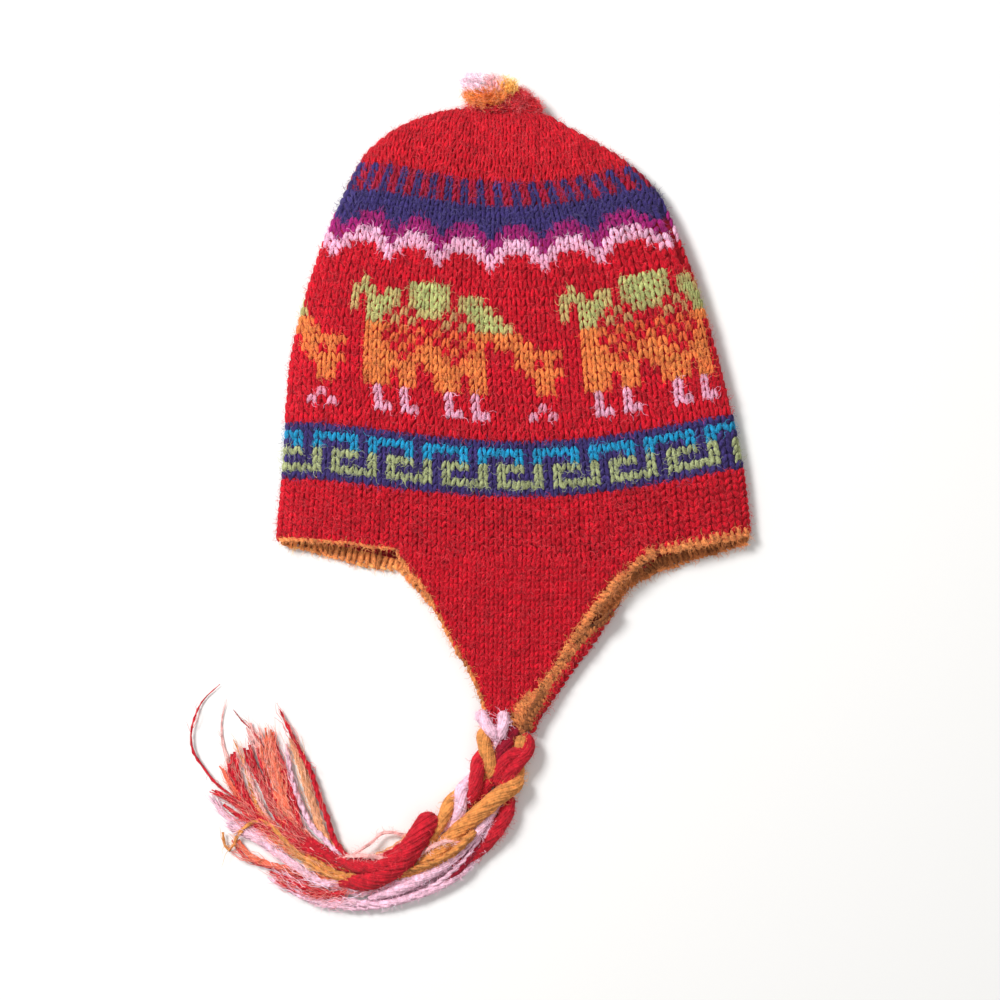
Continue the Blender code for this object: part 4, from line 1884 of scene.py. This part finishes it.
@dataclass(frozen=True)
class Twist:
    """How threads lie round the middle of a strand and twist along it.

    The strand starts thin over start_share of its length, and grows thinner by taper over the
    last end_share.
    """

    steps: int
    taper: float
    lay: float = 62.0 * MM
    packing: float = 3.9
    start_share: float = 0.08
    start_taper: float = 0.6
    end_share: float = 0.25
    raggedness: float = 0.07
    unevenness: float = 0.08
    ragged_step: float = 2.4
    uneven_step: float = 3.9
    clearance: float = 0.3 * MM

    def threads(self, rows: Iterable[tuple]) -> list[Thread]:
        """The threads of every strand of a table."""
        return [thread for row in rows for thread in self._strand(*row)]

    def _strand(self, yarn: Yarn, radius: float, pairs: int, points: tuple) -> list[Thread]:
        """Twist threads together into one strand.

        Args:
            yarn: The yarn.
            radius: The strand's radius (mm).
            pairs: How many pairs of threads lie round its middle.
            points: What its middle line passes (mm).

        Returns:
            The threads.
        """
        count = 2 * pairs
        radius *= MM
        thread_radius = radius * min(0.5, self.packing / count)
        ring = radius - thread_radius
        line = charted_path(points, self.steps)
        paths = [[] for _ in range(count)]
        sizes = []
        steps = zip(line, tangents(line), lengths_along(line))
        for index, (point, tangent, travelled) in enumerate(steps):
            side = UP.cross(tangent).normalized()
            up = tangent.cross(side)
            fullness = self._fullness(index / (self.steps - 1))
            sizes.append(thread_radius * fullness)
            for number, path in enumerate(paths):
                turn = 2 * math.pi * (number / count + travelled / self.lay)
                ragged = 1.0 + self.raggedness * math.sin(self.ragged_step * number)
                reach = ring * fullness * ragged
                place = point + (side * math.cos(turn) + up * math.sin(turn)) * reach
                place.z = max(place.z, thread_radius + self.clearance)
                path.append(place)
        made = []
        for number, path in enumerate(paths):
            light = 1.0 + self.unevenness * math.sin(self.uneven_step * number)
            made.append(Thread(path, sizes, lit(yarn.value, light), plies=1))
        return made

    def _fullness(self, share: float) -> float:
        """How thick the strand is at a share of its length, at most 1."""
        ending = max(0.0, share - (1.0 - self.end_share)) / self.end_share
        starting = max(0.0, self.start_share - share) / self.start_share
        return (1.0 - self.taper * ending) * (1.0 - self.start_taper * starting**2)


@dataclass
class Braid:
    """One three-strand braid, each strand twisted from spun threads.

    A strand's row says its yarn, its radius (mm), how many pairs of threads it has and the
    points that its middle passes as it weaves over and under the others.
    """

    tie: Tie
    diameter: float = 12.0 * MM
    twist: Twist = Twist(steps=60, taper=0.45)
    route_steps: int = 25
    threads: list = field(default_factory=list)

    def route(self) -> list[Vector]:
        """The braid's middle line."""
        return charted_path(ROUTES[self.tie], self.route_steps)

    def build(self) -> Object:
        """Make the braid piece."""
        self.threads += self.twist.threads(BRAIDS[self.tie])
        return spin_threads("braid_" + self.tie.value + "_yarn", self.threads, TIES.material())

    def declare(self) -> None:
        """Hide the braid's part of the frame; its route's start, length and points are worked out
        and dropped.
        """
        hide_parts("braid_" + self.tie.value)
        tuple(self.route()[0])
        lengths_along(self.route())[-1]
        [tuple(point) for point in self.route()]


STEMS = {
    Tie.NEAR: (
        (-44, -224), (-51, -231.5), (-58.5, -240), (-68, -246.5), (-79, -249.5), (-90, -249),
    ),
    Tie.FAR: (
        (-19, -232), (-29, -245), (-44, -256), (-62, -263), (-82, -266), (-98, -264),
    ),
}
LOCK_COLUMNS = ("yarn", "radius", "count", "spread", "lane", "height", "tip", "points")
TASSELS = {
    Tie.NEAR: (
        (Yarn.TIE_RED, 0.95, 1, 0.3, 1, 8, 0.2, (
            (-112, -240), (-133, -225), (-154, -210), (-161, -204), (-167, -196), (-172, -189),
            (-174, -181), (-173, -172), (-168, -161), (-158, -152),
        )),
        (Yarn.TIE_PALE, 0.55, 2, 0.5, 1, 4, 0.2, (
            (-116, -240), (-138, -220), (-150, -204), (-156, -190), (-158, -175), (-155, -160),
        )),
        (Yarn.TIE_RED, 1.6, 6, 1.7, 0, 9, 0.75, (
            (-108, -243), (-124, -233), (-136, -225), (-142, -219), (-147, -209), (-151, -199),
            (-152, -190),
        )),
        (Yarn.TIE_ORANGE, 1, 2, 0.6, 0, 8.5, 0.3, (
            (-106, -243), (-120, -234), (-132, -225), (-138, -217), (-142, -207), (-145, -197),
            (-148, -188), (-151, -181),
        )),
        (Yarn.TIE_PALE, 1, 3, 0.6, 0, 9, 0.3, (
            (-106, -242), (-120, -232), (-128, -228), (-135, -220), (-140, -209), (-145, -197),
            (-150, -184),
        )),
        (Yarn.TIE_RED, 1.6, 7, 2.2, -1, 9.5, 0.6, (
            (-104, -242), (-115, -233), (-123, -227), (-129, -219), (-133, -210), (-137, -202),
            (-141, -194), (-143, -186),
        )),
        (Yarn.TIE_RED, 0.8, 1, 0.3, -1.5, 10, 0.2, (
            (-103, -241), (-116, -227), (-125, -212), (-131, -197), (-136, -183), (-141, -176),
            (-147, -171), (-152, -165),
        )),
        (Yarn.TIE_CORAL, 1.7, 10, 3, -1, 6, 0.4, (
            (-103, -241), (-112, -234), (-119, -226), (-124, -216), (-127, -205), (-130, -192),
            (-132, -179),
        )),
        (Yarn.TIE_PALE, 1.4, 4, 2.4, -1, 7.5, 0.3, (
            (-103, -241), (-113, -232), (-121, -222), (-127, -211), (-131, -199), (-136, -185),
            (-140, -174),
        )),
        (Yarn.TIE_RED, 1.6, 4, 1.2, -2, 10.5, 0.3, (
            (-102, -240), (-110, -235), (-115, -229), (-118, -216), (-122, -202), (-127, -190),
            (-130, -179),
        )),
        (Yarn.TIE_PINK, 2.2, 1, 0.2, -2.6, 10.5, 0.4, (
            (-98, -239), (-104, -233), (-109, -228), (-114, -218), (-118, -207), (-121, -195),
            (-123, -184),
        )),
        (Yarn.TIE_TAN, 1.5, 7, 1.5, -3, 5.5, 0.3, (
            (-96, -240), (-100, -235), (-104, -228), (-107, -218), (-111, -207), (-114, -196),
            (-119, -182),
        )),
        (Yarn.TIE_RED, 2.3, 1, 0.2, -3.4, 9.5, 0.2, (
            (-94, -242), (-99, -235), (-102, -224), (-106, -212), (-110, -199), (-117, -186),
            (-122, -175), (-126, -165),
        )),
        (Yarn.TIE_CORAL, 1.5, 4, 1.4, 1.6, 4, 0.3, (
            (-116, -240), (-132, -227), (-144, -216), (-151, -207), (-157, -197),
        )),
        (Yarn.TIE_RED, 1.5, 3, 0.9, 1.6, 7, 0.3, (
            (-112, -241), (-128, -231), (-140, -223), (-148, -217), (-155, -212), (-163, -208),
        )),
        (Yarn.TIE_RED, 1.6, 2, 0.6, 1.8, 6.5, 0.4, (
            (-112, -242), (-128, -234), (-141, -227), (-150, -222), (-157, -217),
        )),
        (Yarn.TIE_PINK, 1.2, 4, 1.6, 2, 4, 0.3, (
            (-114, -243), (-132, -235), (-144, -228), (-152, -223), (-158, -218), (-162, -211),
        )),
        (Yarn.TIE_CORAL, 1.6, 4, 1.1, 2, 5, 0.6, (
            (-106, -246), (-120, -240), (-130, -234), (-138, -229),
        )),
        (Yarn.TIE_RED, 2, 5, 1.3, 12, 8, 0.4, (
            (-94, -265), (-107, -264), (-118, -261), (-128, -255),
        )),
    ),
    Tie.FAR: (
        (Yarn.TIE_ORANGE, 1.7, 1, 0.2, -10, 12.5, 0.5, (
            (-107, -248), (-115, -242), (-124, -234), (-131, -227), (-137, -225), (-144, -228),
            (-149, -234), (-151, -239), (-154, -241), (-156, -237), (-157, -231),
        )),
        (Yarn.TIE_ORANGE, 1.7, 6, 1.5, -10, 12, 0.5, (
            (-107, -249), (-116, -243), (-125, -236), (-133, -230),
        )),
        (Yarn.TIE_PINK, 1.7, 6, 1.7, -6, 8, 0.4, (
            (-104, -258), (-111, -254), (-120, -248), (-129, -242), (-138, -236), (-146, -232),
            (-155, -228),
        )),
        (Yarn.TIE_CORAL, 1.7, 4, 1.1, -6, 4, 0.5, (
            (-110, -255), (-120, -252), (-130, -250), (-138, -247), (-144, -243), (-149, -237),
        )),
        (Yarn.TIE_RED, 1.2, 2, 0.5, -5, 3.5, 0.4, (
            (-112, -256), (-124, -252), (-136, -249), (-145, -245), (-152, -236),
        )),
        (Yarn.TIE_RED, 1.6, 4, 0.9, -4, 7, 0.4, (
            (-101, -261), (-111, -259), (-121, -257), (-131, -253),
        )),
        (Yarn.TIE_PINK, 1.2, 3, 0.8, -2.5, 8, 0.4, (
            (-96, -262), (-108, -262), (-118, -260),
        )),
        (Yarn.TIE_PINK, 1.5, 8, 1.8, 4.5, 5, 0.4, (
            (-94, -270), (-107, -267), (-119, -261), (-130, -254),
        )),
    ),
}
CROSSINGS = {
    Tie.NEAR: (
        (Yarn.TIE_RED, 6.3, 12, (
            (-43.2, -222, 6.2), (-45.8, -225.6, 8.8), (-49.4, -231, 10.4), (-54, -238.6, 10.8),
            (-60.8, -246.6, 10), (-70.5, -253.2, 8.6), (-82, -257.4, 7), (-94, -258.4, 5.6),
        )),
        (Yarn.TIE_RED, 3.8, 8, (
            (-52, -235.6, 11.4), (-58.4, -241.6, 12.6), (-66.8, -246.6, 12), (-76, -249.6, 10.6),
            (-86, -248.6, 9.4), (-95, -245.4, 8.4),
        )),
        (Yarn.TIE_PALE, 1.2, 3, (
            (-66, -246.4, 9), (-70, -244.8, 12.4), (-78, -243.4, 12.2), (-87, -243.6, 10.6),
            (-94, -245.4, 8),
        )),
        (Yarn.TIE_PALE, 0.9, 2, (
            (-56, -234, 3), (-64, -231.6, 4), (-71, -232, 5), (-77, -237, 6), (-84, -241.6, 7.6),
            (-91, -245.6, 7),
        )),
        (Yarn.TIE_ORANGE, 3.2, 6, (
            (-43.4, -233.6, 8.8), (-46.4, -238, 8), (-50.2, -241.6, 6.6), (-57, -247, 5),
        )),
    ),
    Tie.FAR: (
        (Yarn.TIE_ORANGE, 4.8, 9, (
            (4, -201, 6.4), (1.8, -204.2, 8.8), (-2.4, -207.4, 10), (-8, -211.4, 10.6),
            (-15, -217.4, 10.8), (-22, -223.4, 10.2), (-28.6, -229.2, 9.4), (-34, -234.6, 8.6),
            (-39.6, -240.4, 7.8), (-46.2, -245.8, 7.2), (-53, -251.4, 6.6), (-64, -258, 5.6),
        )),
        (Yarn.TIE_RED, 3.4, 7, (
            (-1.4, -212.4, 5.2), (-2.6, -217, 6.4), (-4.6, -223.4, 6.6), (-8.2, -230.4, 5.8),
            (-12.4, -237.6, 4.4),
        )),
        (Yarn.TIE_PALE, 1.2, 3, (
            (-25, -237.2, 8.6), (-30, -235.6, 11.2), (-36.1, -235.4, 12.6), (-41.6, -237.4, 12.4),
            (-48.8, -241.6, 11.4), (-56, -246, 8.6),
        )),
        (Yarn.TIE_PINK, 3.2, 7, (
            (-29.2, -241.4, 7.6), (-37.6, -248.6, 7.6), (-46.8, -254.4, 7.2), (-60, -261, 6.6),
            (-78, -267.2, 5.8),
        )),
        (Yarn.TIE_PINK, 2.4, 5, (
            (-23, -249, 4.8), (-32, -256, 5), (-46, -263, 5.2), (-62, -268.2, 5),
            (-80, -271.2, 4.6),
        )),
        # Painted shade: a strand of red painted dark where the braid's red lies in shadow.
        (Yarn.TIE_WINE, 1.9, 4, (
            (-16.6, -233, 5.8), (-20.2, -239.4, 7), (-24.2, -245.4, 7.2), (-30, -252.4, 6.4),
            (-42, -260, 5.2),
        )),
    ),
}


@dataclass
class Tassel:
    """The loose strands at the end of a braid.

    A lock's row says its yarn, how thick its threads are (mm), how many it has, how far they
    spread, how far beside the common stem it starts, how high it lies there, and the points that
    its middle passes after the stem.
    """

    tie: Tie
    crossing_twist: Twist = Twist(steps=40, taper=0.6)
    steps: int = 44
    lay: float = 12.0 * MM
    lane_step: float = 0.25
    root_spread: float = 1.3
    height_spread: float = 1.3
    settling: float = 1.4
    ripple: float = 0.7
    clearance: float = 0.3
    wave: float = 0.4 * MM
    wave_steps: tuple[float, float] = (17.0, 13.0)
    point_share: float = 0.22
    pointing: float = 0.6
    unevenness: float = 0.06
    locks: int = 0
    threads: list = field(default_factory=list)

    def build(self) -> Object:
        """Make the tassel piece.

        Returns:
            The piece.
        """
        dice = random.Random(SEED + 70 + len(self.tie.value))
        self.threads += self.crossing_twist.threads(CROSSINGS[self.tie])
        for row in TASSELS[self.tie]:
            lock = dict(zip(LOCK_COLUMNS, row))
            for _ in range(lock["count"]):
                self.threads.append(self._strand(lock, dice))
                self.locks += 1
        name = "tassel_" + self.tie.value
        piece = spin_threads(name + "_yarn", self.threads, TIES.material(), resolution=0)
        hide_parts(name)
        return piece

    def _stem(self, lane: float) -> list[Vector]:
        """The common stem, moved sideways to a lock's lane.

        Args:
            lane: How far it is moved (mm).

        Returns:
            Its points (mm).
        """
        stem = [Vector(point) for point in STEMS[self.tie]]
        moved = []
        for index, (point, way) in enumerate(zip(stem, tangents(stem))):
            share = min(1.0, self.lane_step * (1 + index))
            moved.append(point + Vector((-way.y, way.x)) * lane * share)
        return moved

    def _strand(self, lock: dict, dice: random.Random) -> Thread:
        """One thread of a lock, from the braid out to its tip.

        Args:
            lock: The lock's row by column name.
            dice: The source of small differences.

        Returns:
            The thread.
        """
        radius = lock["radius"] * dice.uniform(0.88, 1.12)
        middles = self._stem(lock["lane"]) + [Vector(point) for point in lock["points"]]
        last = len(middles) - 1
        root_step = scatter(dice, 1.0, 2) * self.root_spread
        tip_step = scatter(dice, 1.0, 2) * lock["spread"]
        height = max(0.0, lock["height"] + dice.gauss(0.0, self.height_spread) - radius)
        route = []
        for index, middle in enumerate(middles):
            share = index / last
            place = middle + root_step * (1.0 - share) + tip_step * share
            drop = height * (1.0 - share) ** self.settling
            rise = abs(dice.gauss(0.0, self.ripple)) * share
            route.append(Vector((*place, radius + self.clearance + drop + rise)) * MM)
        path = smooth_path(route, self.steps)
        phase = dice.uniform(0.0, 2 * math.pi)
        radii = []
        first, second = self.wave_steps
        for index, point in enumerate(path):
            share = index / (self.steps - 1)
            turns = (phase + first * share, phase * 2 + second * share)
            sway = Vector((math.sin(turns[0]), math.cos(turns[1]), 0.0))
            path[index] = point + sway * self.wave * share
            end = min(1.0, (1.0 - share) / self.point_share)
            radii.append(radius * MM * (lock["tip"] + (1.0 - lock["tip"]) * end**self.pointing))
        colour = lit(lock["yarn"].value, 1.0 + dice.gauss(0.0, self.unevenness))
        return Thread(path, radii, colour, lay=self.lay, phase=phase)


START_STRANDS = (
    (Yarn.TIE_PINK, 3.4, 6, (
        (-17.8, -165.8, 8.4), (-16.2, -169.8, 10.4), (-13.6, -173.8, 11.8), (-10.6, -177.4, 12),
        (-8.8, -180.6, 9.8),
    )),
    (Yarn.TIE_PINK, 3.2, 6, (
        (-5.4, -166.6, 8.4), (-5.2, -169.8, 10.6), (-5.6, -173.8, 11.6), (-6.8, -177.6, 11.4),
        (-8.2, -181, 9.4),
    )),
    # Painted shade: dark red that fills the shadowed hollow between the braid's first strands.
    (Yarn.TIE_WINE, 4.4, 7, (
        (0.8, -173.5, 5.4), (-1.6, -179, 7.2), (-4.6, -185, 8.2), (-6.8, -190.5, 8),
        (-8, -197.5, 7), (-9.4, -205, 5.8),
    )),
    (Yarn.TIE_RED, 3.2, 6, (
        (-11.5, -197, 6), (-13.5, -204, 6.6), (-17.5, -210.5, 5.8), (-23.5, -216, 4.8),
    )),
    (Yarn.TIE_RED, 3.6, 7, (
        (6.6, -184.6, 6), (2.6, -187.6, 9.8), (-2.2, -190, 11), (-6.4, -195.4, 10.4),
        (-8.2, -201.6, 7.6), (-8.6, -206.4, 5),
    )),
)


@dataclass
class TieStart:
    """The ends that tie the near braid to the tip of its flap."""

    twist: Twist = Twist(steps=24, taper=0.5)
    threads: list = field(default_factory=list)

    def build(self) -> Object:
        """Make the ends, one piece."""
        self.threads += self.twist.threads(START_STRANDS)
        return spin_threads("tie_start", self.threads, TIES.material())


TUFT_COLUMNS = (
    "yarn", "count", "x", "y", "z", "half_width", "half_length", "half_height", "plumpness",
)
TUFTS = (
    (Yarn.CROWN_RED, 280, -8, 160.4, 10, 19, 4.6, 5, 1),
    (Yarn.CROWN_RED, 120, 10.4, 160.2, 9, 5.6, 6, 4.6, 1),
    (Yarn.TIE_RED, 300, 2.6, 164.6, 10.5, 7.4, 6, 6.4, 1),
    (Yarn.POM_AMBER, 190, -4.4, 171, 12, 7.2, 4.6, 5.6, 1.4),
    (Yarn.POM_PALE, 420, -20.4, 173.2, 13, 8, 5.4, 6, 2.2),
    (Yarn.POM_PINK, 200, -12.6, 172.4, 13, 8.4, 5.4, 6.5, 2),
    (Yarn.POM_ORANGE, 400, -14.4, 166.4, 12.5, 13, 6.6, 7.5, 1.3),
)


@dataclass
class Pompom:
    """The small uneven pompom, tufts of cut yarn ends.

    A tuft's row says its yarn, how many ends it has, its middle and its half sizes (mm), and how
    thick its ends are. An end starts between the tuft's middle and the root, bends at bend_share
    of its length, and has the thicknesses of the profile.
    """

    root: Vector = field(default_factory=lambda: Vector((-7.0, 164.0, 9.5)) * MM)
    floor: float = 1.5 * MM
    rootward: float = 0.35
    start_share: float = 0.25
    bend_share: float = 0.55
    bend_spread: float = 0.9 * MM
    profile: tuple = (0.7, 1.06, 1.12, 0.92, 0.35)
    unevenness: float = 0.08
    places: list = field(default_factory=list)

    def build(self) -> Object:
        """Make the pompom piece.

        Returns:
            The piece.
        """
        dice = random.Random(SEED + 90)
        threads = []
        for row in TUFTS:
            tuft = dict(zip(TUFT_COLUMNS, row))
            threads += [self._end(tuft, dice) for _ in range(tuft["count"])]
        piece = spin_threads("pompom_tufts", threads, TIES.material(), resolution=0)
        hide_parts("pompom")
        return piece

    def _end(self, tuft: dict, dice: random.Random) -> Thread:
        """One yarn end, from inside the pompom to the outside of its tuft.

        Args:
            tuft: The tuft's row by column name.
            dice: The source of small differences.

        Returns:
            The thread.
        """
        way = scatter(dice, 1.0, 3).normalized()
        reach = dice.uniform(0.72, 1.0)
        middle = Vector((tuft["x"], tuft["y"], tuft["z"])) * MM
        half = Vector((tuft["half_width"], tuft["half_length"], tuft["half_height"])) * MM
        tip = middle + Vector([part * size for part, size in zip(way, half)]) * reach
        start = middle.lerp(self.root, self.rootward) + (tip - middle) * self.start_share
        bend = start.lerp(tip, self.bend_share) + scatter(dice, self.bend_spread, 3)
        path = smooth_path([start, bend, tip], len(self.profile))
        for point in path:
            point.z = max(point.z, self.floor)
        radius = dice.uniform(0.32, 0.55) * tuft["plumpness"] * MM
        radii = [radius * size for size in self.profile]
        colour = lit(tuft["yarn"].value, 1.0 + dice.gauss(0.0, self.unevenness))
        turn = way.to_track_quat("X", "Z")
        self.places.append(Place(tip, turn, Vector((1.0, 1.0, 1.0)) * MM, colour))
        return Thread(path, radii, colour, plies=1)


def hair_shape(name: str) -> Mesh:
    """One loose hair, a bent ribbon a unit long in X that bows a unit in Y and in Z.

    Args:
        name: The mesh's name.

    Returns:
        The mesh.
    """
    root_width = 0.26
    thinning = 0.6
    hair = bmesh.new()
    bmesh.ops.create_grid(hair, x_segments=2, y_segments=1, size=0.5)
    for corner in hair.verts:
        share = corner.co.x + 0.5
        bow = 4 * share * (1 - share)
        width = root_width * (1.0 - thinning * share)
        corner.co = Vector((share, bow + corner.co.y * width, bow))
    return mesh_of(name, hair)


@dataclass
class Fuzz:
    """Loose hairs of brushed wool over the stitches.

    A hair leans up by lift (degrees), swings to either side of its stitch's width by swing
    (radians), and is its stitch's dye, lightness times as light, a painted highlight. It is also
    painted paler towards pale, or where pale is empty towards the dye lifted by sheen_gain and
    sheen_lift, as painted sheen.
    """

    bow: float = 0.8 * MM
    shortest: float = 1.4 * MM
    longest: float = 4.4 * MM
    lift: float = 8.0
    lift_spread: float = 12.0
    least_lift: float = -5.0
    most_lift: float = 60.0
    seat: float = 0.25
    paleness: float = 0.10
    pale_spread: float = 0.10
    lightness: float = 1.15
    light_spread: float = 0.2
    swing: float = math.pi
    pale: tuple = ()
    sheen_gain: float = 1.3
    sheen_lift: float = 0.18

    def over(self, name: str, places: Sequence[Place], count: int) -> Object:
        """Grow hairs on stitches.

        Args:
            name: The piece's name.
            places: The stitches.
            count: How many hairs.

        Returns:
            One piece.
        """
        dice = random.Random(SEED + len(name))
        hairs = [self._hair(dice.choice(places), dice) for _ in range(count)]
        hairs = [hair for hair in hairs if self._clears_floor(hair)]
        return copy_to(name, hair_shape(name + "_one"), hairs, HALO.material())

    def _clears_floor(self, hair: Place) -> bool:
        """Whether the whole hair stays above what the hat lies on."""
        tip = hair.point + hair.turn @ Vector((hair.size.x, 0.0, 0.0))
        return min(hair.point.z, tip.z) > abs(hair.size.y) + abs(hair.size.z)

    def _hair(self, place: Place, dice: random.Random) -> Place:
        """One hair on a stitch.

        Args:
            place: The stitch.
            dice: The source of small differences.

        Returns:
            The hair's place.
        """
        offset = Vector((
            dice.uniform(-0.5, 0.5) * place.size.x,
            dice.uniform(-0.6, 0.6) * place.size.y,
            self.seat * place.size.z,
        ))
        point = place.point + place.turn @ offset
        about = Quaternion(UP, dice.uniform(-self.swing, self.swing))
        lift = min(self.most_lift, dice.gauss(self.lift, self.lift_spread))
        lift = max(self.least_lift, lift)
        raised = Quaternion((0.0, 1.0, 0.0), -math.radians(lift))
        length = dice.uniform(self.shortest, self.longest)
        side = dice.choice((-1.0, 1.0))
        size = Vector((length, side * self.bow, length * dice.uniform(-0.05, 0.12)))
        # Painted highlight and sheen: the hair is painted lighter and paler than its stitch.
        pale = max(0.0, dice.gauss(self.paleness, self.pale_spread))
        brushed = self.pale or [
            part * self.sheen_gain + self.sheen_lift for part in place.colour
        ]
        light = self.lightness + dice.gauss(0.0, self.light_spread)
        colour = tuple(
            min(1.0, part * light + (white - part) * pale)
            for part, white in zip(place.colour, brushed)
        )
        return Place(point, place.turn @ about @ raised, size, colour)


def thread_places(threads: Sequence[Thread], since: float = 0.0) -> list[Place]:
    """Where hairs may grow on threads, from a share of their length on.

    Args:
        threads: The threads.
        since: Where on them hairs start, 0 to 1.

    Returns:
        The places.
    """
    places = []
    for thread in threads:
        last = len(thread.path) - 1
        for index in range(1 + int(since * len(thread.path)), last, 2):
            tangent = (thread.path[index + 1] - thread.path[index - 1]).normalized()
            size = THREAD_SEAT * thread.radii[index]
            turn = axes_turn(tangent, UP)
            places.append(Place(thread.path[index], turn, size, thread.colour))
    return places


def report(slot: str, *pieces: Object) -> None:
    """Log each finished piece and its number of faces."""
    for piece in pieces:
        LOG.info("%s: %d faces", piece.name, len(piece.data.polygons))


def main() -> None:
    """Load the frame and build every piece in order."""
    logging.basicConfig(level=logging.INFO, format="%(message)s")
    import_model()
    Studio().build()
    tied = []
    loose = []
    for tie in Tie:
        braid = Braid(tie)
        tassel = Tassel(tie)
        cord = braid.build()
        strands = tassel.build()
        braid.declare()
        report("braid_yarn", cord)
        report("tassel_yarn", strands)
        tied += thread_places(braid.threads + tassel.threads)
        loose += thread_places(tassel.threads[-tassel.locks:], since=0.55)
    start = TieStart()
    report("braid_yarn", start.build())
    tied += thread_places(start.threads)
    cap = CapForm()
    near = FlapForm(cap, NEAR_ROWS, attach=(-63.5, 72.0), upper=True)
    far = FlapForm(cap, FAR_ROWS, attach=(-60.5, 79.0), upper=False)
    knit = KnitCap(cap)
    near_flap = EarFlap(near, "near_flap", "ear_flap_near")
    far_flap = EarFlap(far, "far_flap", "ear_flap_far")
    edging = Edging(Hem(near, far))
    pompom = Pompom()
    report("red_knit", *knit.build())
    report("red_knit", *near_flap.build())
    report("red_knit", *far_flap.build())
    report("orange_crochet", *edging.build())
    report("pompom_yarn", pompom.build())
    seats = [place for places in knit.places.values() for place in places]
    upper = [place for place in seats if place.point.z > 5 * MM]
    fuzz = Fuzz()
    report("red_knit", fuzz.over("cap_hairs", upper, 27000))
    report("red_knit", fuzz.over("flap_hairs", near_flap.places + far_flap.places, 5000))
    report("orange_crochet", fuzz.over("trim_hairs", edging.places, 6000))
    report("braid_yarn", fuzz.over("tie_hairs", tied, 11000))
    # The tassel's haze is painted paler still, as painted sheen on the loose ends.
    haze = Fuzz(
        bow=1.3 * MM, shortest=5.0 * MM, longest=14.0 * MM, lift=2.0, lift_spread=4.0,
        paleness=0.26, swing=0.25, pale=(1.0, 0.62, 0.50),
    )
    report("tassel_yarn", haze.over("tassel_haze", loose, 1500))
    # The pompom's hairs are painted much lighter than their yarn, as painted light.
    tufted = Fuzz(
        longest=4.5 * MM, lift=28.0, lightness=1.45, paleness=0.08, pale=(1.0, 0.8, 0.8),
    )
    report("pompom_yarn", tufted.over("pompom_hairs", pompom.places, 8500))


if __name__ == "__main__":
    main()
